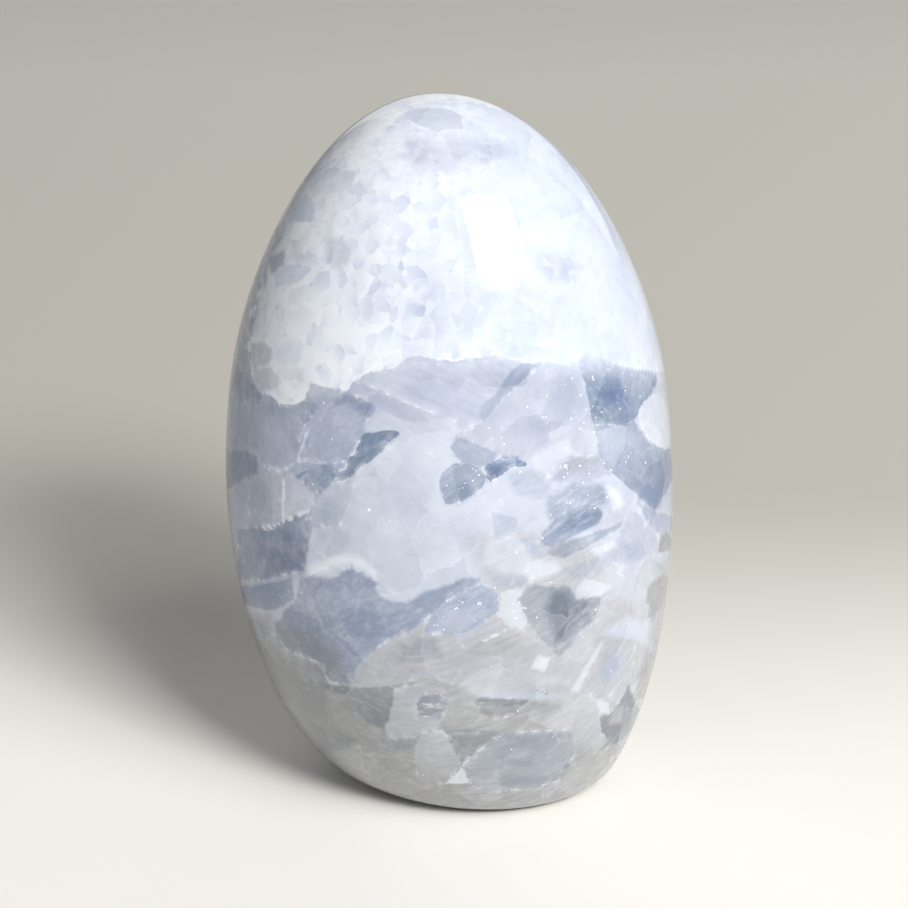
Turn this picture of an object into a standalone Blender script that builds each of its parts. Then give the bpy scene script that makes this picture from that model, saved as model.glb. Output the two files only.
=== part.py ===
"""A polished blue calcite freeform: one stone that stands on a base ground flat.

The stone starts as a unit sphere. Each point is carried to a lopsided ellipsoid that leans as it rises, is
moved a little by the swells that hand polishing leaves, and is ground flat underneath with an eased rim.
Metres, +Z up. The origin is under the middle of the stone's box, on the surface that it stands on, and the
face seen in a display case looks towards -Y.
"""

import math

import bmesh
import bpy
from mathutils import Vector

MM = 0.001

COLLECTION_NAME = "polished_calcite_freeform"
STONE_NAME = "calcite_freeform"

HALF_WIDTH = 37.8 * MM
HALF_DEPTH = 33.5 * MM
RISE_ABOVE_WAIST = 67.0 * MM
DROP_BELOW_WAIST = 63.5 * MM
WAIST_HEIGHT = 53.0 * MM
GRIND_EASE = 5.0 * MM

# How far the middle of a level slice stands to the right (+X) of the waist's, as the factors of the height's
# first, second and third power, with the height counted from the waist in units of RISE_ABOVE_WAIST.
LEAN = (-1.1 * MM, 4.7 * MM, -5.2 * MM)

# The swells and hollows left by hand polishing: azimuth from +X and elevation, in degrees seen from the
# middle of the waist, and the height of the swell.
SWELL_REACH_DEG = 20.0
SWELLS = (
    (180.0, -62.0, 2.8 * MM),
    (180.0, -42.0, 0.5 * MM),
    (180.0, 40.0, 0.6 * MM),
    (0.0, -58.0, 0.3 * MM),
    (0.0, -40.0, 0.5 * MM),
    (0.0, 15.0, -0.3 * MM),
    (0.0, 60.0, -0.8 * MM),
    (95.0, 25.0, 0.7 * MM),
    (60.0, -30.0, -0.6 * MM),
    (125.0, -20.0, 0.5 * MM),
)

SEGMENTS_ROUND = 68
RINGS_UP = 40

STONE_COLOUR = (0.52, 0.57, 0.68, 1.0)
STONE_ROUGHNESS = 0.08
STONE_IOR = 1.6


def clear_scene() -> None:
    """Removes whatever the file opened with."""
    for scene_object in list(bpy.data.objects):
        bpy.data.objects.remove(scene_object, do_unlink=True)


def stone_material() -> bpy.types.Material:
    """Polished calcite: pale grey-blue and glossy.

    Returns:
        The material of the stone.
    """
    material = bpy.data.materials.new("polished_blue_calcite")
    material.use_nodes = True
    shader = material.node_tree.nodes["Principled BSDF"]
    shader.inputs["Base Color"].default_value = STONE_COLOUR
    shader.inputs["Roughness"].default_value = STONE_ROUGHNESS
    shader.inputs["Metallic"].default_value = 0.0
    shader.inputs["IOR"].default_value = STONE_IOR
    material.diffuse_color = STONE_COLOUR
    return material


def direction(azimuth_deg: float, elevation_deg: float) -> Vector:
    """The unit vector at an azimuth from +X and an elevation from the level."""
    azimuth = math.radians(azimuth_deg)
    elevation = math.radians(elevation_deg)
    level = math.cos(elevation)
    return Vector((level * math.cos(azimuth), level * math.sin(azimuth), math.sin(elevation)))


def leaning_ellipsoid(ray: Vector) -> Vector:
    """Carries a point of the unit sphere to the leaning ellipsoid, counted from the middle of the waist."""
    reach_z = RISE_ABOVE_WAIST if ray.z > 0.0 else DROP_BELOW_WAIST
    z = ray.z * reach_z
    height = z / RISE_ABOVE_WAIST
    lean = sum(factor * height ** (power + 1) for power, factor in enumerate(LEAN))
    return Vector((ray.x * HALF_WIDTH + lean, ray.y * HALF_DEPTH, z))


def polished(point: Vector) -> Vector:
    """Moves a point in or out by the swells around it."""
    ray = point.normalized()
    swell = 0.0
    for azimuth_deg, elevation_deg, height in SWELLS:
        apart = math.degrees(ray.angle(direction(azimuth_deg, elevation_deg)))
        swell += height * math.exp(-((apart / SWELL_REACH_DEG) ** 2))
    return point + ray * swell


def ground(z: float) -> float:
    """The height after grinding: flat at 0 underneath, easing into the side over GRIND_EASE."""
    if z <= -GRIND_EASE:
        return 0.0
    if z >= GRIND_EASE:
        return z
    return (z + GRIND_EASE) ** 2 / (4.0 * GRIND_EASE)


def stone_point(ray: Vector) -> Vector:
    """Carries a point of the unit sphere to the stone's surface."""
    point = polished(leaning_ellipsoid(ray.normalized()))
    return Vector((point.x, point.y, ground(point.z + WAIST_HEIGHT)))


def centre_over_origin(mesh: bmesh.types.BMesh) -> None:
    """Slides the stone sideways until the middle of its box is over the origin."""
    xs = [vertex.co.x for vertex in mesh.verts]
    ys = [vertex.co.y for vertex in mesh.verts]
    middle = Vector(((min(xs) + max(xs)) / 2.0, (min(ys) + max(ys)) / 2.0, 0.0))
    bmesh.ops.translate(mesh, verts=mesh.verts, vec=-middle)


def build_stone(collection: bpy.types.Collection) -> bpy.types.Object:
    """Builds the stone and links it.

    Args:
        collection: The collection that the stone goes in.

    Returns:
        The stone's object.
    """
    mesh = bmesh.new()
    bmesh.ops.create_uvsphere(mesh, u_segments=SEGMENTS_ROUND, v_segments=RINGS_UP, radius=1.0)
    for vertex in mesh.verts:
        vertex.co = stone_point(vertex.co)
    centre_over_origin(mesh)
    for face in mesh.faces:
        face.smooth = True
    data = bpy.data.meshes.new(STONE_NAME)
    mesh.to_mesh(data)
    mesh.free()
    data.materials.append(stone_material())
    stone = bpy.data.objects.new(STONE_NAME, data)
    collection.objects.link(stone)
    return stone


def main() -> None:
    """Builds the object in its own collection."""
    clear_scene()
    collection = bpy.data.collections.new(COLLECTION_NAME)
    bpy.context.scene.collection.children.link(collection)
    build_stone(collection)


main()
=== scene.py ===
"""Looks of a polished blue calcite freeform.

The stone is one piece. Its form is made by Geometry Nodes from the same sizes as its solid, and its crystals
are painted on the form as signed distances and tints, which the calcite finish turns into crisp, ragged
borders, frosted grain and cleavage streaks. Metres, +Z up, the display side towards -Y.
"""

import logging
import math
from dataclasses import dataclass
from enum import Enum
from functools import partial

import bpy
import numpy as np
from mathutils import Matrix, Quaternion, Vector


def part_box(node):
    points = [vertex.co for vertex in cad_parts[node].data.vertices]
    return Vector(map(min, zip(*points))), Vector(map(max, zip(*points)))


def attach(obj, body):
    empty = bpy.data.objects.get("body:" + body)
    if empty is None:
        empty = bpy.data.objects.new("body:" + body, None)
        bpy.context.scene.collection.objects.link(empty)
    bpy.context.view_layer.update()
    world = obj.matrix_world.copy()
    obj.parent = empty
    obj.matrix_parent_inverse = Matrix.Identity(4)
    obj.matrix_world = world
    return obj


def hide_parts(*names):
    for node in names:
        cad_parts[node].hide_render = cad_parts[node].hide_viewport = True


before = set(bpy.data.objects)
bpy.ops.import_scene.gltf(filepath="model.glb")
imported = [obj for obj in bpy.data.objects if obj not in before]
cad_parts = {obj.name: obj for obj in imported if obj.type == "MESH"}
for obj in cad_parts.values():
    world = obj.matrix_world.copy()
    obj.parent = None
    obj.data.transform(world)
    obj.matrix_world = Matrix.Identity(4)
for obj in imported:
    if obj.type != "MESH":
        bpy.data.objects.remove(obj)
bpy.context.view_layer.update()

LOG = logging.getLogger("calcite_freeform")
MM = 0.001
FAR_MM = 9.0
RIGHT = np.array((1.0, 0.0, 0.0))
STONE_NODE = "calcite_freeform"


def linear(colour: str, alpha: float = 1.0) -> tuple[float, float, float, float]:
    """Turns an sRGB hex colour into linear light.

    Args:
        colour: The colour as #RRGGBB.
        alpha: The fourth value, passed through.

    Returns:
        The linear red, green and blue, and alpha.
    """
    parts = [int(colour[place:place + 2], 16) / 255.0 for place in (1, 3, 5)]
    toe = 0.04045
    light = [p / 12.92 if p <= toe else ((p + 0.055) / 1.055) ** 2.4 for p in parts]
    return (light[0], light[1], light[2], alpha)


MATH = "ShaderNodeMath"
VECTOR = "ShaderNodeVectorMath"
MIX = "ShaderNodeMix"
RANGE = "ShaderNodeMapRange"
NOISE = "ShaderNodeTexNoise"
CELLS = "ShaderNodeTexVoronoi"
STORED = "ShaderNodeAttribute"
COLOUR = {"data_type": "RGBA", "out": 2}
Socket = bpy.types.NodeSocket


def add_node(tree: bpy.types.NodeTree, kind: str, *terms, out: int | str = 0, named: dict | None = None,
             **settings) -> Socket | None:
    """Adds a node with its settings, and sets or links its inputs.

    Args:
        tree: The node tree.
        kind: The node's type.
        *terms: What goes into the first inputs, in order: a socket, a value, or None to leave one as it is.
        out: The number or name of the output to return.
        named: What goes into other inputs, by their number or name.
        **settings: The node's own settings, such as operation.

    Returns:
        The output that is asked for, or None from a node that has none.
    """
    node = tree.nodes.new(kind)
    for name, value in settings.items():
        setattr(node, name, value)
    for key, term in (*enumerate(terms), *(named or {}).items()):
        if isinstance(term, Socket):
            tree.links.new(term, node.inputs[key])
        elif term is not None:
            node.inputs[key].default_value = term
    return node.outputs[out] if node.outputs else None


@dataclass(frozen=True)
class Swell:
    """A low swell or hollow that hand polishing leaves, seen from the middle of the waist."""

    azimuth_deg: float
    elevation_deg: float
    height: float

    def direction(self) -> tuple[float, float, float]:
        """The unit vector from the middle of the waist to the swell."""
        azimuth = math.radians(self.azimuth_deg)
        elevation = math.radians(self.elevation_deg)
        level = math.cos(elevation)
        return (level * math.cos(azimuth), level * math.sin(azimuth), math.sin(elevation))


@dataclass
class FreeformBody:
    """The stone's form: a leaning lopsided ellipsoid, swelled by polishing and ground flat underneath."""

    half_width: float = 37.8 * MM
    half_depth: float = 33.5 * MM
    rise_above_waist: float = 67.0 * MM
    drop_below_waist: float = 63.5 * MM
    waist_height: float = 53.0 * MM
    grind_ease: float = 5.0 * MM
    lean: tuple[float, float, float] = (-1.1 * MM, 4.7 * MM, -5.2 * MM)
    swell_reach_deg: float = 20.0
    swells: tuple[Swell, ...] = (
        Swell(180.0, -62.0, 2.8 * MM),
        Swell(180.0, -42.0, 0.5 * MM),
        Swell(180.0, 40.0, 0.6 * MM),
        Swell(0.0, -58.0, 0.3 * MM),
        Swell(0.0, -40.0, 0.5 * MM),
        Swell(0.0, 15.0, -0.3 * MM),
        Swell(0.0, 60.0, -0.8 * MM),
        Swell(95.0, 25.0, 0.7 * MM),
        Swell(60.0, -30.0, -0.6 * MM),
        Swell(125.0, -20.0, 0.5 * MM),
    )
    points_along_side: int = 128

    def named_sizes(self) -> dict[str, float]:
        """The sizes that the node tree takes as named inputs."""
        return {
            "Half Width": self.half_width,
            "Half Depth": self.half_depth,
            "Rise Above Waist": self.rise_above_waist,
            "Drop Below Waist": self.drop_below_waist,
            "Waist Height": self.waist_height,
            "Grind Ease": self.grind_ease,
            "Lean 1": self.lean[0],
            "Lean 2": self.lean[1],
            "Lean 3": self.lean[2],
            "Swell Reach": math.radians(self.swell_reach_deg),
        }

    def node_tree(self, finish: bpy.types.Material) -> bpy.types.NodeTree:
        """Builds the tree that makes the form.

        Args:
            finish: The material that the form takes.

        Returns:
            The geometry node tree, whose inputs are the form's named sizes.
        """
        tree = bpy.data.node_groups.new("freeform_body", "GeometryNodeTree")
        for name in self.named_sizes():
            tree.interface.new_socket(name, in_out="INPUT", socket_type="NodeSocketFloat")
        tree.interface.new_socket("Geometry", in_out="OUTPUT", socket_type="NodeSocketGeometry")
        add = partial(add_node, tree)
        sizes = tree.nodes.new("NodeGroupInput").outputs
        count = self.points_along_side
        cube = add("GeometryNodeMeshCube", (2.0, 2.0, 2.0), count, count, count)
        position = add("GeometryNodeInputPosition")
        scaled = add(VECTOR, position, named={"Scale": math.pi / 4.0}, operation="SCALE")
        ray = add(VECTOR, add(VECTOR, scaled, operation="TANGENT"), operation="NORMALIZE")
        axes = add("ShaderNodeSeparateXYZ", ray).node.outputs
        is_above = add(MATH, axes[2], 0.0, operation="GREATER_THAN")
        reach_z = add(MIX, is_above, None, sizes["Drop Below Waist"], sizes["Rise Above Waist"])
        z = add(MATH, axes[2], reach_z, operation="MULTIPLY")
        height = add(MATH, z, sizes["Rise Above Waist"], operation="DIVIDE")
        lean = add(MATH, sizes["Lean 3"], height, operation="MULTIPLY")
        for name in ("Lean 2", "Lean 1"):
            lean = add(MATH, add(MATH, lean, sizes[name], operation="ADD"), height, operation="MULTIPLY")
        x = add(MATH, axes[0], sizes["Half Width"], lean, operation="MULTIPLY_ADD")
        y = add(MATH, axes[1], sizes["Half Depth"], operation="MULTIPLY")
        leaning = add("ShaderNodeCombineXYZ", x, y, z)
        outward = add(VECTOR, leaning, operation="NORMALIZE")
        swelled = leaning
        for swell in self.swells:
            towards = add(VECTOR, outward, swell.direction(), out="Value", operation="DOT_PRODUCT")
            angle = add(MATH, towards, operation="ARCCOSINE")
            apart = add(MATH, angle, sizes["Swell Reach"], operation="DIVIDE")
            falling = add(MATH, add(MATH, apart, 2.0, operation="POWER"), -1.0, operation="MULTIPLY")
            raised = add(MATH, add(MATH, falling, operation="EXPONENT"), swell.height, operation="MULTIPLY")
            swelled = add(VECTOR, swelled, add(VECTOR, outward, named={"Scale": raised}, operation="SCALE"),
                          operation="ADD")
        body = add("ShaderNodeSeparateXYZ", swelled).node.outputs
        raw = add(MATH, body[2], sizes["Waist Height"], operation="ADD")
        eased = add(MATH, add(MATH, raw, sizes["Grind Ease"], operation="ADD"), 0.0, operation="MAXIMUM")
        ease_by = add(MATH, sizes["Grind Ease"], 4.0, operation="MULTIPLY")
        curved = add(MATH, add(MATH, eased, 2.0, operation="POWER"), ease_by, operation="DIVIDE")
        is_clear = add(MATH, raw, sizes["Grind Ease"], operation="GREATER_THAN")
        ground = add(MIX, is_clear, None, curved, raw)
        surface = add("ShaderNodeCombineXYZ", body[0], body[1], ground)
        moved = add("GeometryNodeSetPosition", cube, named={"Position": surface})
        smooth = add("GeometryNodeSetShadeSmooth", moved)
        real = add("GeometryNodeRealizeInstances", smooth)
        add("NodeGroupOutput", add("GeometryNodeSetMaterial", real, named={"Material": finish}))
        return tree

    def build(self, name: str, finish: bpy.types.Material) -> bpy.types.Object:
        """Makes the form as a plain mesh that fills the box of its solid.

        Args:
            name: The piece's name.
            finish: The material that the form takes.

        Returns:
            The piece, with its place in its mesh.
        """
        tree = self.node_tree(finish)
        maker = bpy.data.objects.new("freeform_maker", bpy.data.meshes.new("freeform_maker"))
        bpy.context.scene.collection.objects.link(maker)
        modifier = maker.modifiers.new("freeform_body", "NODES")
        modifier.node_group = tree
        sizes = self.named_sizes()
        for item in tree.interface.items_tree:
            if item.in_out == "INPUT":
                modifier[item.identifier] = sizes[item.name]
        graph = bpy.context.evaluated_depsgraph_get()
        mesh = bpy.data.meshes.new_from_object(maker.evaluated_get(graph), depsgraph=graph)
        bpy.data.objects.remove(maker, do_unlink=True)
        mesh.name = name
        self.fit_to_solid(mesh)
        piece = bpy.data.objects.new(name, mesh)
        bpy.context.scene.collection.objects.link(piece)
        return piece

    @staticmethod
    def fit_to_solid(mesh: bpy.types.Mesh) -> None:
        """Settles the mesh in the solid's box, which is a hair smaller because the solid has flat facets."""
        low, high = (np.array(corner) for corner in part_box(STONE_NODE))
        points = np.empty(len(mesh.vertices) * 3, np.float32)
        mesh.vertices.foreach_get("co", points)
        points = points.reshape(-1, 3)
        least, most = points.min(axis=0), points.max(axis=0)
        points = low + (points - least) * ((high - low) / (most - least))
        mesh.vertices.foreach_set("co", points.astype(np.float32).ravel())
        mesh.update()


@dataclass(frozen=True)
class Viewpoint:
    """Where the stone is looked at from: in front, and a little above it."""

    pitch_deg: float = 20.0
    distance: float = 425.6 * MM
    aim: tuple[float, float, float] = (0.7 * MM, 0.0, 58.6 * MM)
    lens_mm: float = 100.0
    sensor_mm: float = 36.0
    plane_distance: float = 420.37 * MM

    def sight(self) -> np.ndarray:
        """The unit vector along which the stone is looked at."""
        pitch = math.radians(self.pitch_deg)
        return np.array((0.0, math.cos(pitch), -math.sin(pitch)))

    def upward(self) -> np.ndarray:
        """The unit vector that points up in the picture."""
        pitch = math.radians(self.pitch_deg)
        return np.array((0.0, math.sin(pitch), math.cos(pitch)))

    def place(self) -> np.ndarray:
        """The point that the stone is looked at from."""
        return np.array(self.aim) - self.sight() * self.distance

    def add_camera(self) -> bpy.types.Object:
        """Adds the camera and makes it the scene's."""
        lens = bpy.data.cameras.new("display_camera")
        lens.lens = self.lens_mm
        lens.sensor_width = self.sensor_mm
        lens.clip_start = 0.01
        lens.clip_end = 20.0
        camera = bpy.data.objects.new("display_camera", lens)
        camera.location = Vector(self.place())
        camera.rotation_euler = Vector(self.sight()).to_track_quat("-Z", "Y").to_euler()
        bpy.context.scene.collection.objects.link(camera)
        bpy.context.scene.camera = camera
        return camera


@dataclass(frozen=True)
class SoftLight:
    """A rectangular soft light that looks at a point."""

    name: str
    place: tuple[float, float, float]
    aim: tuple[float, float, float]
    width: float
    height: float
    watts: float
    colour: str
    roll_deg: float = 0.0

    def add(self) -> bpy.types.Object:
        """Adds the light to the scene."""
        lamp = bpy.data.lights.new(self.name, "AREA")
        lamp.shape = "RECTANGLE"
        lamp.size = self.width
        lamp.size_y = self.height
        lamp.energy = self.watts
        lamp.color = linear(self.colour)[:3]
        light = bpy.data.objects.new(self.name, lamp)
        light.location = self.place
        towards = Vector(self.aim) - Vector(self.place)
        turned = towards.to_track_quat("-Z", "Y") @ Quaternion((0.0, 0.0, 1.0), math.radians(self.roll_deg))
        light.rotation_euler = turned.to_euler()
        bpy.context.scene.collection.objects.link(light)
        return light


class Tint(Enum):
    """The calcite's tints, from frosted white through lavender and slate to the smoky greys of the foot."""

    RIME = "#EFF3F9"
    FROST = "#D2DAE9"
    SNOW = "#D9DEE8"
    CHALK = "#CED4DF"
    MILK = "#C2C8D6"
    HAZE = "#B6BBCB"
    LAVENDER = "#ABB2C8"
    MIST = "#A3ADC1"
    SLATE = "#929DB3"
    STORM = "#828FA9"
    COBALT = "#7789A8"
    INDIGO = "#6A7CA2"
    TEAL = "#70829B"
    INK = "#5A6A88"
    DOVE = "#9DA3AD"
    PEWTER = "#8C939F"
    LEAD = "#626C7E"
    PEARL = "#B4B6BE"
    ASH = "#A8A9AC"
    FLINT = "#989A9D"
    SHALE = "#838A94"
    SMOKE = "#6C7279"

    def rgb(self) -> np.ndarray:
        """The tint in linear light."""
        return np.array(linear(self.value)[:3])


@dataclass
class Site:
    """Where surface points lie, in millimetres: in space, and on the plane that faces the viewer."""

    points: np.ndarray
    plane: np.ndarray

    @staticmethod
    def of(points: np.ndarray, view: Viewpoint) -> "Site":
        """Works out the places from surface points in metres.

        Args:
            points: The surface points, one a row.
            view: The place that the stone is looked at from.

        Returns:
            The site.
        """
        apart = points - view.place()
        scale = view.plane_distance / MM / (apart @ view.sight())
        plane = np.stack([apart @ RIGHT * scale, apart @ view.upward() * scale], axis=1)
        return Site(points / MM, plane)


@dataclass(frozen=True, kw_only=True)
class Layer:
    """How a crystal covers what lies under it, and how it looks. Its tint may run into a second one.

    Its border is soft over a width, or else crisp, and then frosted, ragged and melted by so much.
    """

    into: Tint | None = None
    soft: float = 0.0
    strength: float = 1.0
    frost: float = 0.25
    ragged: float = 0.15
    melt: float = 0.1
    streaks: float = 0.5
    sugar: float = 0.0
    # How thick the painted glints, white flecks of caught light, swarm in this crystal.
    flecks: float = 0.0


@dataclass(frozen=True)
class Plate(Layer):
    """A crystal plate that the display side shows, drawn in millimetres on the plane that faces the viewer.

    The plane's origin is the point that the viewer looks at, its first axis points right and its second up.
    """

    tint: Tint
    outline: tuple[tuple[float, float], ...]
    along_deg: float = 0.0
    cleavage_deg: float = 20.0

    def distance(self, site: Site) -> np.ndarray:
        """How far each point is inside the outline, in millimetres, and negative outside it."""
        corners = np.array(self.outline)
        margin = max(self.soft, FAR_MM)
        is_past_low = site.plane > corners.min(axis=0) - margin
        near = (is_past_low & (site.plane < corners.max(axis=0) + margin)).all(axis=1)
        nearest = np.full(near.sum(), np.inf)
        inside = np.zeros(near.sum(), bool)
        x, y = site.plane[near].T
        for (ax, ay), (bx, by) in zip(corners, np.roll(corners, -1, axis=0)):
            ex, ey = bx - ax, by - ay
            share = np.clip(((x - ax) * ex + (y - ay) * ey) / (ex * ex + ey * ey), 0.0, 1.0)
            nearest = np.minimum(nearest, np.hypot(x - ax - share * ex, y - ay - share * ey))
            if ay != by:
                inside ^= ((ay > y) != (by > y)) & (x < ax + (y - ay) * ex / ey)
        result = np.full(len(near), -FAR_MM)
        result[near] = np.clip(np.where(inside, nearest, -nearest), -FAR_MM, FAR_MM)
        return result

    def run(self, site: Site) -> np.ndarray:
        """How far along the plate's gradient each point lies, from 0 to 1."""
        angle = math.radians(self.along_deg)
        way = np.array((math.cos(angle), math.sin(angle)))
        ends = np.array(self.outline) @ way
        return np.clip((site.plane @ way - ends.min()) / (ends.max() - ends.min()), 0.0, 1.0)

    def cleavage(self, view: Viewpoint) -> np.ndarray:
        """The direction of the plate's cleavage streaks, as long as they are strong."""
        angle = math.radians(self.cleavage_deg)
        return (RIGHT * math.cos(angle) + view.upward() * math.sin(angle)) * self.streaks


@dataclass(frozen=True)
class Grain(Layer):
    """A crystal that shows on the sides, the back or the top: what lies behind all of its faces."""

    tint: Tint
    middle: tuple[float, float, float]
    faces: tuple[tuple[float, float, float, float], ...]
    streak_way: tuple[float, float, float] = (1.0, 0.0, 0.0)
    reach_mm: float = 30.0
    least_reach_mm: float = 2.0

    def distance(self, site: Site) -> np.ndarray:
        """How far each point is inside the nearest face, in millimetres, and negative outside."""
        apart = site.points - np.array(self.middle)
        near = (np.abs(apart) < self.reach_mm).all(axis=1)
        depth = np.full(near.sum(), FAR_MM)
        for *normal, reach in self.faces:
            depth = np.minimum(depth, reach - apart[near] @ np.array(normal))
        result = np.full(len(near), -FAR_MM)
        result[near] = np.maximum(depth, -FAR_MM)
        return result

    def run(self, site: Site) -> np.ndarray:
        """How far along the grain's gradient each point lies, from 0 to 1."""
        *normal, reach = self.faces[0]
        span = 2.0 * max(abs(reach), self.least_reach_mm)
        return np.clip(0.5 + (site.points - np.array(self.middle)) @ np.array(normal) / span, 0.0, 1.0)

    def cleavage(self, view: Viewpoint) -> np.ndarray:
        """The direction of the grain's cleavage streaks, as long as they are strong."""
        return np.array(self.streak_way) * self.streaks


@dataclass(frozen=True)
class Ground(Layer):
    """The calm ground that every crystal lies on."""

    tint: Tint = Tint.MILK
    streaks: float = 0.3

    def distance(self, site: Site) -> np.ndarray:
        """The ground reaches everywhere."""
        return np.full(len(site.plane), FAR_MM)

    def run(self, site: Site) -> np.ndarray:
        """The ground has one tint."""
        return np.zeros(len(site.plane))

    def cleavage(self, view: Viewpoint) -> np.ndarray:
        """Level streaks."""
        return RIGHT * self.streaks


GROUNDS: tuple[Plate, ...] = (
    # The lavender to pale upper middle, the milky middle, and the smoky foot.
    Plate(Tint.MIST, ((-40, 20), (0, 20), (8, 0), (-9, 2), (-18, -6), (-24, -20), (-36, -26)), soft=3.0),
    Plate(Tint.MILK, ((-40, 20), (40, 20), (40, -8), (24, 0), (4, 2), (-9, 3), (-18, 9), (-34, 10)),
          into=Tint.HAZE, along_deg=180.0, soft=4.0),
    Plate(Tint.MILK, ((-9, 2.8), (-14.2, -1.3), (-16.6, -3.4), (-17.1, -7.2), (-19.3, -12.3), (-23.6, -12),
          (-24.1, -15), (-24.7, -17.7), (-24.7, -20.4), (-17.1, -18.8), (-12.8, -21.5), (-7.7, -24.7),
          (3.3, -20.6), (10, -22), (8, -8), (2, 1)), melt=0.4, frost=0.5, cleavage_deg=-35.0, streaks=0.35),
    Plate(Tint.PEARL, ((2, -14), (16, -12), (24, -16), (36, -18), (36, -40), (-2, -39), (2, -30), (6, -22)),
          soft=5.0, streaks=0.8, cleavage_deg=28),
    Plate(Tint.ASH, ((-40, -30), (-31, -31), (-23.3, -37.9), (-20.1, -38.6), (-17.1, -38.7), (-13.1, -38.9),
          (-10.1, -38.3), (-6.1, -37.5), (-3.7, -36.8), (-1.8, -37.9), (0, -38.2), (4.3, -40.6), (12.2, -41),
          (18, -40.8), (23, -41), (40, -44), (40, -64), (-40, -64)), into=Tint.FLINT, along_deg=-105.0,
          soft=0.8, streaks=0.9),
    Plate(Tint.SMOKE, ((-40, -26), (-31, -27), (-30, -29.8), (-27.9, -32.5), (-24.9, -33.9), (-21.7, -35.2),
          (-21.2, -37.9), (-20, -44), (-16, -56), (-40, -56)), into=Tint.FLINT, soft=3.0, strength=0.75,
          streaks=0.25),
    Plate(Tint.PEARL, ((16, -38), (30, -36), (34, -30), (32, -44), (26, -50), (16, -47)), soft=4.0,
          strength=0.8, streaks=0.8),
)

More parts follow.
